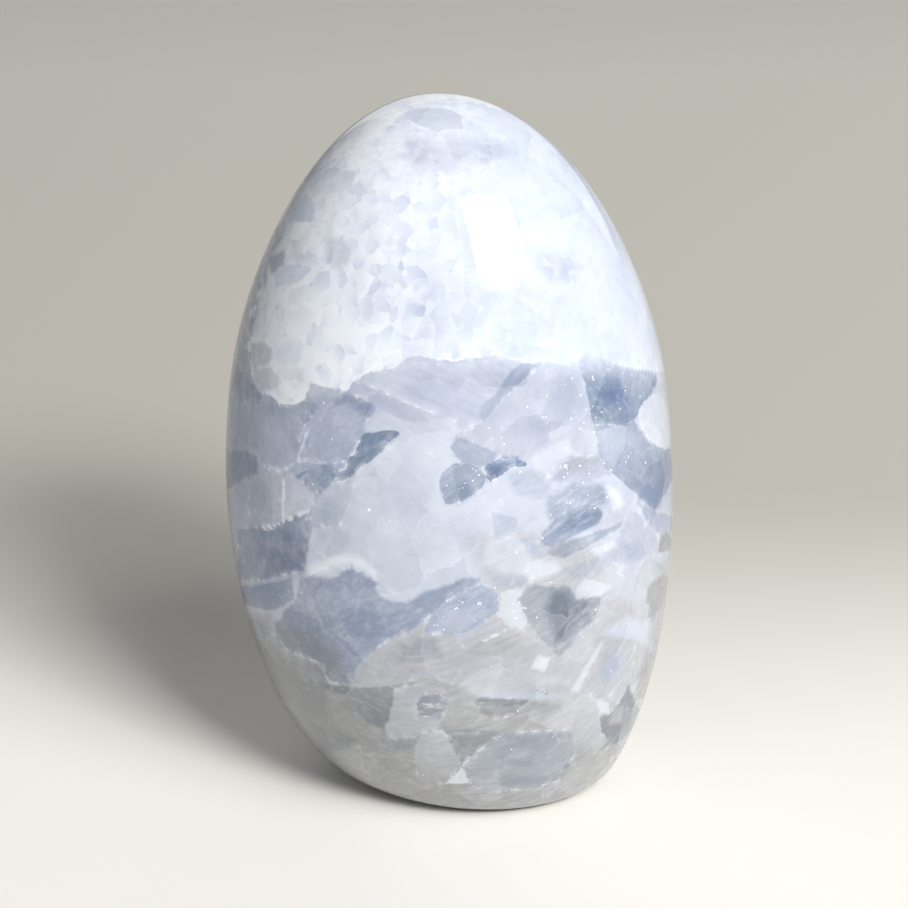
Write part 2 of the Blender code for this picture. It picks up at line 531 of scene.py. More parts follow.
CROWN: tuple[Plate, ...] = (
    # Painted light: the crown's tint runs from pale at the left, where less light falls, to greyer at the
    # right and round the highlight, where most falls, which evens out the lighting.
    Plate(Tint.RIME, ((-40, 19), (-32, 10), (-30.6, 9.8), (-29.2, 8.4), (-26.5, 8.4), (-25, 9),
          (-23.8, 11.9), (-21.2, 11.1), (-19.5, 11.1), (-17.9, 10.3), (-17.1, 11.9), (-15.8, 12.7),
          (-13.1, 14.1), (-10.1, 14.2), (-8.2, 15.7), (-6, 16.5), (-2.9, 15.8), (0, 15.5), (4.8, 16.2),
          (7, 16.5), (10, 15.7), (13.2, 14.9), (14.8, 15.6), (18.1, 14.9), (20.6, 15.3), (21.6, 16.7),
          (22.4, 17.1), (23.4, 16.5), (25, 15.7), (27, 15), (30, 14.2), (33.3, 13.9), (40, 13.4), (40, 64),
          (-40, 64)), into=Tint.FROST, along_deg=10.0, frost=0.7, ragged=0.22, sugar=0.62, streaks=0.25,
          melt=0.15),
    Plate(Tint.FROST, ((-9, 28), (-4, 42), (6, 44), (26, 36), (28, 15), (0, 17), (-8, 15), (-11, 20)),
          soft=7.0, strength=0.65, sugar=0.3, streaks=0.2),
    Plate(Tint.FROST, ((4, 62), (2, 40), (8, 16), (40, 14), (40, 62)), soft=9.0, sugar=0.14, streaks=0.2),
    # Painted shade: a faint lavender wash over the crown's left side, which turns away from the light.
    Plate(Tint.LAVENDER, ((-40, 58), (-18, 51), (-20, 42), (-24, 34), (-27, 24), (-29, 10), (-40, 8)),
          soft=5.0, strength=0.12, sugar=0.9),
    # Painted shade: a slate strip down the crown's left rim, where the side turns away from the light, paling
    # to lavender higher up.
    Plate(Tint.SLATE, ((-40, 40), (-28.6, 38), (-29.8, 35), (-30.9, 32), (-32.4, 28), (-33.3, 24),
          (-33.9, 20), (-33.9, 15), (-33.2, 12), (-31.6, 9), (-40, 7)), into=Tint.LAVENDER, along_deg=90.0,
          melt=0.6, frost=0.6, ragged=1.2, strength=0.85, sugar=0.25),
    Plate(Tint.RIME, ((-20.3, 49.1), (-14.8, 52), (-12, 53.1), (-9.2, 56.5), (-6.2, 58.3), (-1.5, 59.2),
          (4, 58.4), (8, 57.3), (12, 64), (-30, 64), (-26, 46)), ragged=0.3, frost=0.5, sugar=0.5),
    Plate(Tint.FROST, ((-8.9, 56.5), (-6, 57.7), (-1.4, 57.7), (1.4, 56.2), (1.5, 54.2), (-1.1, 54),
          (-2.9, 53.5), (-4.2, 54.3), (-6, 54.9)), into=Tint.CHALK, frost=0.5, streaks=0.3),
    Plate(Tint.RIME, ((-18.5, 50), (-14, 52), (-9, 53.5), (-2.3, 53.1), (8.2, 53.4), (9.1, 51.5),
          (10.2, 49.7), (7.8, 48.5), (4.5, 47.5), (1.7, 46.3), (-2, 46.3), (-3.5, 44.5), (-6, 43.9),
          (-10, 43.5), (-17.2, 44.5), (-16, 46.9), (-17.5, 47.8)), into=Tint.FROST, frost=0.35, ragged=0.4,
          sugar=0.3, streaks=0.7, cleavage_deg=-12.0),
    Plate(Tint.MILK, ((-8, 52.5), (8, 52.6), (9, 49.8), (3, 47.4), (-2, 47), (-8, 49)), soft=2.5,
          strength=0.75, sugar=0.3, streaks=0.6, cleavage_deg=-12.0),
    Plate(Tint.HAZE, ((-16, 40), (-10, 42), (-6, 36), (-9, 26), (-15, 22), (-19, 30)), soft=5.0,
          strength=0.22, sugar=0.9),
    Plate(Tint.HAZE, ((-6, 31), (2, 29), (4, 22), (-2, 18), (-8, 24)), soft=4.0, strength=0.25, sugar=0.7),
    Plate(Tint.MILK, ((14, 33.5), (18, 34), (21.5, 31.5), (20, 28.5), (16, 28.6), (13.6, 31)), soft=1.6,
          strength=0.6, sugar=0.6),
    Plate(Tint.CHALK, ((-19.8, 47.8), (-16, 46.9), (-17.2, 44.5), (-20, 42.9), (-19.7, 40.2), (-21.8, 38.9),
          (-23.2, 40.5), (-23.1, 42.3), (-24, 44.5), (-21.8, 47.2)), into=Tint.RIME, along_deg=-90.0,
          frost=0.9, sugar=0.3),
    Plate(Tint.RIME, ((-20, 50), (-18, 51), (-14.5, 52.3), (-12, 53), (-12, 54.5), (-14.5, 54), (-17, 52.5)),
          soft=1.0, strength=0.5),
    Plate(Tint.SNOW, ((-17.1, 44.5), (-15.7, 45.4), (-13.8, 43.2), (-16, 42.9)), ragged=0.1, streaks=0.0),
    Plate(Tint.FROST, ((-24.6, 43.5), (-23.2, 41.7), (-23.4, 38.6), (-27.7, 38.6), (-26.8, 41)), melt=0.3),
    Plate(Tint.RIME, ((-26.8, 38.6), (-21.8, 38.6), (-22.2, 34.9), (-23.4, 34), (-25.2, 35.5),
          (-27.4, 35.8)), frost=0.4),
    Plate(Tint.HAZE, ((-30.8, 32.5), (-28.3, 34), (-28.3, 31.2), (-30.5, 30)), melt=0.3),
    Plate(Tint.HAZE, ((-21.5, 35.8), (-18.8, 36.2), (-17.2, 34.3), (-17.2, 31.8), (-20.3, 30.9),
          (-21.5, 32.5)), soft=1.2, strength=0.6, sugar=0.5),
    Plate(Tint.FROST, ((-30.2, 30), (-28.3, 31.5), (-26.2, 31.7), (-23.4, 30.9), (-26.2, 28.5),
          (-29.5, 27.8)), frost=0.9, strength=0.85),
    Plate(Tint.RIME, ((-28, 24.2), (-25.2, 24.5), (-23.7, 22.9), (-23.7, 20.5), (-25.5, 19.2), (-27.7, 19.8),
          (-28.6, 21.7)), frost=0.8),
    Plate(Tint.HAZE, ((-33.7, 18.4), (-31.9, 18.7), (-30.2, 17.3), (-30.3, 15.7), (-31.1, 14.9),
          (-33.5, 14.3), (-33.9, 16)), frost=0.4, melt=0.4, strength=0.7),
    Plate(Tint.FROST, ((-29.8, 17.6), (-27.9, 18.7), (-25.1, 18.4), (-25.2, 16.5), (-26, 14.6),
          (-28.2, 14.3), (-29.8, 15.7)), frost=0.9, melt=0.4, strength=0.5),
    Plate(Tint.HAZE, ((-33.5, 14.3), (-30.8, 14.5), (-29.8, 13.8), (-28.7, 12.2), (-30, 10.6), (-32.2, 10),
          (-33.5, 12.2)), into=Tint.MILK, frost=0.7, melt=0.4, strength=0.7),
    Plate(Tint.CHALK, ((-29.5, 13.8), (-27.9, 14.5), (-25.2, 14.3), (-25.2, 12.2), (-28.2, 12.2)), frost=0.8,
          melt=0.4, strength=0.5),
)

UPPER_MIDDLE: tuple[Plate, ...] = (
    Plate(Tint.MILK, ((-20.4, 11.2), (-17.3, 12.5), (-9, 8.9), (-1.5, 6), (2, 4.6), (4, 4.2), (8, 0),
          (5, -2.2), (-2, -1), (-9, 3), (-9, 3.6), (-11, 4), (-14.8, 3.6), (-15, 5.2), (-13.2, 7),
          (-13.3, 8.2), (-15, 9.2)), frost=0.3, ragged=0.1, cleavage_deg=-25.0, streaks=0.7, melt=0.2),
    Plate(Tint.LAVENDER, ((-20.4, 11.2), (-17.3, 12.5), (-13, 10.8), (-9, 8.9), (-5, 7.4), (-1.5, 6),
          (-4.4, 5.2), (-7.8, 5.4), (-10.5, 6.6), (-13.3, 8), (-15.6, 9.4)), into=Tint.HAZE, along_deg=-20.0,
          melt=0.2, strength=0.9, cleavage_deg=-25.0),
    Plate(Tint.MILK, ((-17.3, 12.6), (-13, 10.9), (-9, 9), (-5, 7.5), (-1.5, 6.1), (2, 4.6), (5, 5.2),
          (9, 10), (15, 15.6), (10, 16), (4, 15.6), (-3, 15), (-8, 15.4), (-12, 14.2)), frost=0.8,
          ragged=0.06, cleavage_deg=-24.0, streaks=0.8, melt=0.2),
    Plate(Tint.LAVENDER, ((-4, 14), (4, 12), (6, 8), (4, 5.6), (0, 6), (-6, 8.6), (-9, 11)), soft=2.4,
          strength=0.6, cleavage_deg=-24.0, streaks=0.8),
    Plate(Tint.HAZE, ((1.6, 12), (4, 15.6), (11, 15.8), (9, 12), (6, 10)), soft=1.6, strength=0.8,
          cleavage_deg=-28.0, streaks=1.0, flecks=0.3),
    Plate(Tint.MIST, ((15.4, 16), (13.4, 14), (9, 9.6), (7.1, 7.6), (5.4, 5.2), (4, 6.4), (4.6, 8.2),
          (6.8, 9.8), (8.2, 12), (9.6, 14), (11.8, 15.6)), into=Tint.STORM, along_deg=45.0, melt=0.3,
          frost=0.0, ragged=0.1, cleavage_deg=48.0, streaks=0.6, strength=0.9),
    Plate(Tint.HAZE, ((14.9, 15.6), (18.1, 14.9), (20.6, 15.2), (21.2, 13.5), (22, 11), (22.9, 7), (23.2, 5),
          (23.7, 3), (24.1, 0.2), (22, -0.2), (20.2, -0.3), (18.3, -1.2), (17, -3.2), (15.1, -3.7),
          (13.5, -3), (12.5, -1.6), (10.3, -0.5), (8, -0.1), (4.5, 1.4), (0.4, 2.9), (0.8, 3.5), (3.4, 4.4),
          (5, 5.3), (7.1, 8.1), (9, 9.9), (11, 11.7)), frost=0.8, ragged=0.06, cleavage_deg=62.0,
          flecks=0.5),
    Plate(Tint.MILK, ((3, 3.4), (6, 5.4), (10, 6), (14, 9.6), (15.6, 14.6), (17.4, 14), (15, 7), (9, 1.4)),
          soft=2.2, strength=0.5, flecks=0.2),
    Plate(Tint.LAVENDER, ((16.6, 14), (20.4, 13.6), (22.4, 7), (21, 4), (17, 6)), soft=2.2, strength=0.5,
          flecks=0.4),
    Plate(Tint.LAVENDER, ((12.4, 6.4), (16, 5.4), (15.4, 1), (12.8, 0.8)), soft=1.6, strength=0.6),
    Plate(Tint.CHALK, ((12, -1.2), (15, 1), (19, 2.8), (20, 0.2), (17.4, -1.2), (16.6, -3), (15.1, -3.6),
          (13.5, -2.9)), soft=1.2, strength=0.7),
    Plate(Tint.DOVE, ((18.3, -1.2), (20.2, -0.4), (24.1, 0), (24.9, -1.6), (26.2, -3.2), (22.4, -4.6),
          (19.7, -4.2), (17.5, -5), (16.2, -4)), into=Tint.LAVENDER, along_deg=-90.0, soft=0.7, streaks=0.6,
          flecks=0.5),
    Plate(Tint.STORM, ((20.4, 15.2), (21.6, 16.6), (22.4, 17), (23.4, 16.4), (25, 15.6), (27, 14.9),
          (30, 14.1), (33.3, 13.8), (34, 12.6), (33.2, 10.2), (32, 9), (31.2, 7.6), (30.6, 6.4), (30, 5.6),
          (28, 4.9), (23.2, 4.9), (22.6, 8), (21.8, 11.5), (21.2, 13.8)), frost=0.45, ragged=0.08,
          cleavage_deg=-18.0, streaks=0.9, flecks=0.9),
    Plate(Tint.SLATE, ((27.4, 13.6), (33.6, 13), (32.6, 10), (30.4, 7.4), (29, 10)), soft=2.0, strength=0.6,
          cleavage_deg=-18.0, streaks=0.9),
    Plate(Tint.TEAL, ((22.4, 12), (25, 11.6), (27, 6), (24, 5.2), (23, 6)), soft=2.0, strength=0.65,
          cleavage_deg=-18.0, streaks=0.9, flecks=0.8),
    Plate(Tint.INDIGO, ((25.2, 9.8), (26, 10.8), (27.8, 10.7), (29.3, 9.5), (29, 8.5), (27.4, 7.8),
          (25.8, 8.4)), soft=0.9, strength=0.8, cleavage_deg=-18.0, streaks=0.9),
    Plate(Tint.TEAL, ((21.6, 16.4), (23.4, 16.2), (27, 14.8), (33.2, 13.7), (33, 13.1), (27, 13.7),
          (23, 14.6)), melt=0.4, strength=0.75),
    Plate(Tint.SLATE, ((24.1, 0.2), (23.6, 3.4), (23.3, 4.8), (28, 4.8), (30, 5.5), (30.8, 4.5), (31.8, 3.4),
          (32.4, 2.2), (33.6, 1.7), (35.2, 0.9), (37.4, 1), (37, -3), (35.8, -5.6), (34.4, -8), (33.4, -9.3),
          (31.4, -7.7), (29.8, -6.2), (28, -4.6), (26.4, -3.2), (25.2, -2.4)), frost=0.45, ragged=0.06,
          cleavage_deg=-42.0, flecks=0.6),
    Plate(Tint.MIST, ((23.9, 4.4), (29, 4.4), (31.6, 2.6), (29, 0), (25, -1.4), (24.4, 0.4)), soft=2.2,
          strength=0.75, cleavage_deg=-42.0, flecks=0.6),
    Plate(Tint.STORM, ((29, -2.6), (32, 0), (37, -0.6), (36, -5), (34, -9), (31, -7.2)), soft=2.6,
          strength=0.8, cleavage_deg=-42.0),
    Plate(Tint.COBALT, ((31.6, -5.6), (35.2, -4.4), (35, -7), (33.4, -9), (31.4, -7.6)), soft=1.6,
          strength=0.7),
    Plate(Tint.CHALK, ((33.9, 10.4), (33, 9.6), (32, 8.9), (31.3, 7.8), (30.7, 6.6), (30.5, 5.2),
          (30.9, 4.4), (31.8, 3.4), (32.4, 2.2), (33.5, 1.8), (34.4, 1), (35.2, 0.9), (36, 1.8), (36.6, 4),
          (36, 7.6)), frost=0.3, ragged=0.6, streaks=0.3, melt=0.15),
    Plate(Tint.SLATE, ((0.4, 2.8), (2.3, 2.3), (6, 0.8), (7.8, -0.1), (6.4, -1.2), (5.1, -2.2), (1.8, -1.6),
          (0.4, -0.6), (-0.6, 1)), melt=0.3, strength=0.85, cleavage_deg=-35.0),
)

LEFT_MIDDLE: tuple[Plate, ...] = (
    Plate(Tint.MILK, ((-23.8, 11.9), (-19.5, 11.1), (-15.8, 12.7), (-10, 14.3), (-13, 11), (-17.3, 12.4),
          (-20.4, 11.1), (-24, 9.4)), soft=1.0, cleavage_deg=-25.0),
    Plate(Tint.SLATE, ((-31.8, 8.4), (-30, 8.2), (-27.6, 7.8), (-25, 8.8), (-22.2, 8), (-24.8, 6.4),
          (-25.6, 5), (-26, 3), (-26.2, -0.6), (-28, -1.8), (-31, -2.2), (-32.6, -1.6), (-33, 0), (-32.4, 3),
          (-31.5, 6)), into=Tint.LAVENDER, along_deg=200.0, frost=0.4, ragged=0.05, cleavage_deg=-60.0,
          melt=0.2),
    Plate(Tint.STORM, ((-26.4, 6.3), (-22.9, 7.3), (-23.4, 5.6), (-25, 4.6)), melt=0.25, strength=0.6),
    Plate(Tint.LAVENDER, ((-25.2, 4.6), (-23.6, 6.2), (-22.2, 7.8), (-19.4, 9), (-17.8, 10.3), (-15, 9.2),
          (-13.3, 8.2), (-13.2, 6.9), (-15, 5.2), (-15.2, 3.6), (-16.3, 1), (-17, -0.1), (-18.3, -1.2),
          (-20, -1.6), (-22.4, -1.4), (-25.9, -1.2), (-26, 1)), into=Tint.MIST, along_deg=-60.0, frost=1.0,
          ragged=0.06, cleavage_deg=30.0, streaks=0.8, flecks=0.4),
    Plate(Tint.STORM, ((-21, 8), (-17.8, 10.2), (-13.6, 8.2), (-14.6, 6.4), (-18, 8)), soft=1.2,
          strength=0.9, cleavage_deg=30.0, streaks=0.8),
    Plate(Tint.STORM, ((-34, 0.4), (-40, 1), (-40, -7), (-34.4, -4), (-32.7, -2.9), (-32.7, -0.5)),
          frost=0.4, ragged=0.1, melt=0.4),
    Plate(Tint.HAZE, ((-32.4, -1.8), (-30, -2), (-28.4, -2.8), (-28.3, -4.5), (-28.9, -8), (-28.6, -11.2),
          (-30, -12), (-33.8, -12.4), (-34.2, -9), (-34.1, -4.4), (-32.6, -3.2)), frost=0.6, ragged=0.05,
          into=Tint.MIST, along_deg=200.0, cleavage_deg=80.0, streaks=0.8, melt=0.15),
    Plate(Tint.HAZE, ((-28.3, -3.4), (-26.6, -3.6), (-25, -5.2), (-23.2, -7), (-23.6, -9.4), (-25.4, -10.2),
          (-28.6, -11.2), (-28.9, -8)), frost=1.2, ragged=0.05, into=Tint.MILK, along_deg=-90.0, melt=0.2),
    Plate(Tint.STORM, ((-36, -12.5), (-33.9, -12.5), (-30.5, -12.2), (-28.5, -11.2), (-26, -10.1),
          (-24.6, -10.8), (-24.2, -14), (-24.6, -16.5), (-24.9, -19.4), (-28, -20), (-30, -20.5), (-32, -21),
          (-36, -21)), frost=0.8, ragged=0.04, cleavage_deg=80.0, streaks=0.7, melt=0.15),
    Plate(Tint.INK, ((-29, -12.6), (-25, -13), (-25, -19), (-31, -20), (-30, -16)), soft=2.6, strength=0.75,
          cleavage_deg=80.0, streaks=0.6),
    Plate(Tint.MIST, ((-26.2, -10.4), (-24.5, -10.7), (-24.2, -13.6), (-25.2, -13.4)), soft=0.8,
          strength=0.7),
    Plate(Tint.HAZE, ((-22.6, -7), (-20.6, -5), (-19.2, -4.5), (-17, -5), (-16.9, -6), (-18, -9),
          (-19, -11.9), (-20, -12.4), (-22, -11.8), (-24, -12.2), (-23.8, -9)), frost=0.8, ragged=0.08,
          melt=0.2),
    Plate(Tint.MIST, ((-22.6, -9.2), (-21.4, -7.4), (-19.6, -7.2), (-19.4, -9.8), (-21.4, -11)), soft=1.4,
          strength=0.6),
    Plate(Tint.RIME, ((-28.8, -11.6), (-28.4, -11.5), (-28.4, -8), (-28.1, -3.3), (-28.3, -3.3),
          (-28.7, -8)), strength=0.6, frost=0.8, ragged=0.2),
    Plate(Tint.RIME, ((-33.4, -12.2), (-30, -11.9), (-28.6, -11.2), (-26, -10), (-24.2, -9.2), (-24.3, -9.8),
          (-26.2, -10.7), (-28.8, -11.7), (-31, -12.4)), strength=0.6, frost=0.8, ragged=0.5, melt=0.15),
    Plate(Tint.RIME, ((-26.1, -0.9), (-25.7, -0.9), (-24.5, 3), (-23.7, 5), (-24.1, 5), (-25, 3)),
          strength=0.6, frost=0.6, ragged=0.3, melt=0.15),
    Plate(Tint.FROST, ((-31.8, -2.2), (-28.4, -3), (-26, -1.3), (-20.6, -1.8), (-20.4, -1.4), (-25.9, -0.9),
          (-28.6, -2.4), (-31.8, -1.7)), strength=0.5, frost=0.8, ragged=0.5, melt=0.2),
    Plate(Tint.SLATE, ((-22.4, -1.7), (-20.2, -1.9), (-19.9, -2.9), (-19.3, -3.9), (-20.6, -4.8),
          (-22.2, -6.8), (-23.4, -6), (-25.4, -4.3), (-24, -2.8)), frost=0.9, ragged=0.1, streaks=0.8),
    Plate(Tint.COBALT, ((-21.8, -2), (-20.2, -2.2), (-19.6, -3.8), (-21.4, -5.6), (-22.6, -4.6)), soft=1.2,
          strength=0.8),
    Plate(Tint.STORM, ((-26.6, -3.4), (-24.1, -2.6), (-26, -4.5)), frost=0.5, ragged=0.1),
    Plate(Tint.STORM, ((-9, 3.5), (-9.8, 3.9), (-11, 3.9), (-15, 3.4), (-16, 1.6), (-16.8, -0.2),
          (-17.9, -0.9), (-17.8, -2.2), (-19.2, -3), (-19.8, -4.4), (-18, -4.4), (-16.8, -3.4), (-15.2, -2),
          (-13, -0.5), (-11.6, 0.9), (-10.6, 2.2), (-9.4, 2.9)), into=Tint.TEAL, along_deg=40.0, frost=1.0,
          ragged=0.12, cleavage_deg=45.0, streaks=0.8),
    Plate(Tint.TEAL, ((-15, 3.2), (-10, 3.7), (-11.6, 1.2), (-14.6, -0.8), (-16, 1)), soft=0.8,
          strength=0.85, cleavage_deg=45.0, streaks=0.8),
    Plate(Tint.CHALK, ((-17.4, -4.2), (-12.6, -0.4), (-9, 3.1), (-9.4, 1.6), (-13, -1.8), (-17, -6.6)),
          soft=0.8, strength=0.7, flecks=0.2),
)

CENTRE: tuple[Plate, ...] = (
    Plate(Tint.HAZE, ((-6, -12), (2, -11), (4, -16), (-4, -18), (-12, -16)), soft=5.0, strength=0.45),
    Plate(Tint.HAZE, ((-12, -6), (-4, -6), (-4, -11), (-14, -12)), soft=4.0, strength=0.5),
    Plate(Tint.HAZE, ((-23, -12.8), (-17.6, -12.4), (-17, -15), (-20, -16.6), (-23.6, -16)), soft=1.2,
          strength=0.55),
    Plate(Tint.FROST, ((-24.5, -16.4), (-23.4, -16.6), (-20, -19.8), (-24.7, -20.2)), soft=1.4,
          strength=0.7),
    Plate(Tint.RIME, ((-23.8, -20), (-21, -19.2), (-17.2, -18.2), (-15, -19.3), (-13, -21), (-13, -19.6),
          (-15.4, -17.4), (-18, -16.6), (-21, -17.4), (-24, -18.6)), soft=1.2, strength=0.6),
    Plate(Tint.SLATE, ((-1.9, -3.2), (-0.2, -1.5), (1.7, -1.5), (4.6, -2.2), (5.1, -2.8), (5.3, -4.2),
          (4.8, -5.5), (3.8, -6.4), (1.2, -8), (-1.4, -8.6), (-2, -7), (-2.6, -5)), frost=0.9, ragged=0.12,
          cleavage_deg=35.0, streaks=0.7, flecks=1.0),
    Plate(Tint.TEAL, ((-2.2, -5.6), (0.4, -5.2), (2.2, -4.4), (3.6, -6.4), (1, -8), (-1.3, -8.4)), soft=1.4,
          strength=0.7, streaks=0.7, cleavage_deg=35.0, flecks=0.5),
    Plate(Tint.COBALT, ((5.1, -2.2), (6, -1.4), (7.6, -0.8), (9.6, -0.6), (12, -1.2), (12.6, -2.1),
          (10, -2.2), (8.4, -3), (7, -4.1), (6, -4.7), (5.3, -3.9)), frost=1.0, ragged=0.25,
          cleavage_deg=30.0, streaks=1.0, flecks=1.3),
    Plate(Tint.INK, ((5.3, -2.4), (7.4, -1.8), (8, -2.8), (6.2, -4.4), (5.5, -3.8)), soft=0.7,
          strength=0.85),
    Plate(Tint.MIST, ((8.6, -3.4), (12.9, -2.4), (16.4, -5.2), (14.6, -7.9), (10.4, -6.6)), soft=0.8,
          strength=0.5, streaks=0.8),
    Plate(Tint.MIST, ((6.2, -9.6), (11.2, -11), (9.6, -13.6), (6.9, -14.8)), melt=0.25, strength=0.6,
          streaks=0.8),
    Plate(Tint.MIST, ((10.5, -13.9), (12.6, -14.3), (14.2, -15.1), (14.1, -17.1), (12.2, -16.4)), melt=0.3,
          strength=0.85),
    Plate(Tint.MILK, ((11.2, -10.8), (14, -10), (14.8, -12.4), (14, -13.8), (11.4, -12.8)), soft=1.0,
          strength=0.7),
    Plate(Tint.SLATE, ((15.6, -7), (18, -6), (20, -4.6), (25, -5), (25.6, -8), (23.6, -9), (19, -10),
          (16, -11.4), (15.4, -9)), soft=1.4, strength=0.8, cleavage_deg=25.0, streaks=1.2, flecks=1.0),
    Plate(Tint.SLATE, ((15.2, -15.2), (14.1, -14.4), (14.6, -13.2), (16, -11.8), (16.8, -10.6), (19.6, -9.2),
          (20.8, -8.6), (22.4, -8.3), (24, -8.9), (25, -9.8), (24.6, -11), (23, -12.2), (20.6, -13.4),
          (18, -14.6), (16.4, -15.6)), melt=0.22, cleavage_deg=25.0, streaks=1.2, flecks=0.7),
    Plate(Tint.TEAL, ((19.2, -10), (22.4, -8.9), (24.6, -9.9), (23.4, -11.6), (20, -12.8), (17.4, -13)),
          soft=1.6, strength=0.8, cleavage_deg=25.0, streaks=1.2, flecks=0.5),
    Plate(Tint.PEWTER, ((14.6, -16.2), (17, -15.1), (20, -14.2), (23, -13.3), (26, -12.1), (28.6, -11),
          (28.2, -11.9), (26.4, -13), (24, -14.6), (21.4, -16), (18.6, -17.4), (16.4, -17)), melt=0.25,
          strength=0.9, into=Tint.MIST, cleavage_deg=25.0, streaks=1.25),
    Plate(Tint.RIME, ((25.2, -5.6), (27.4, -6), (28.2, -8.4), (26.6, -9.6), (26.2, -8)), soft=1.0,
          strength=0.6, streaks=0.2, flecks=1.4),
    Plate(Tint.HAZE, ((29.1, -9.4), (30.8, -9.6), (32.1, -12), (34, -13.7), (34, -16.3), (31, -18.2),
          (27.8, -18.8), (24.3, -17.2), (27, -14.2), (28.6, -11.2)), frost=0.6, ragged=0.1,
          cleavage_deg=30.0, melt=0.25),
    Plate(Tint.MIST, ((28, -15), (31, -14.6), (31.4, -17.2), (28.2, -18)), soft=1.6, strength=0.85),
    Plate(Tint.MIST, ((30, -7.4), (33.4, -9.5), (37, -10.4), (37, -13.1), (33.7, -13.1), (32.1, -11.4),
          (31.4, -9.6)), frost=0.5, into=Tint.LAVENDER, along_deg=-60.0, ragged=0.1, melt=0.2),
    Plate(Tint.FLINT, ((34.2, -13.7), (35.6, -12.8), (37, -15.8), (34, -16.6)), melt=0.3),
    Plate(Tint.CHALK, ((5.4, -14.8), (9.6, -12.4), (13, -17), (12, -20.4), (8, -20), (4.6, -18)), soft=1.6,
          strength=0.6),
)

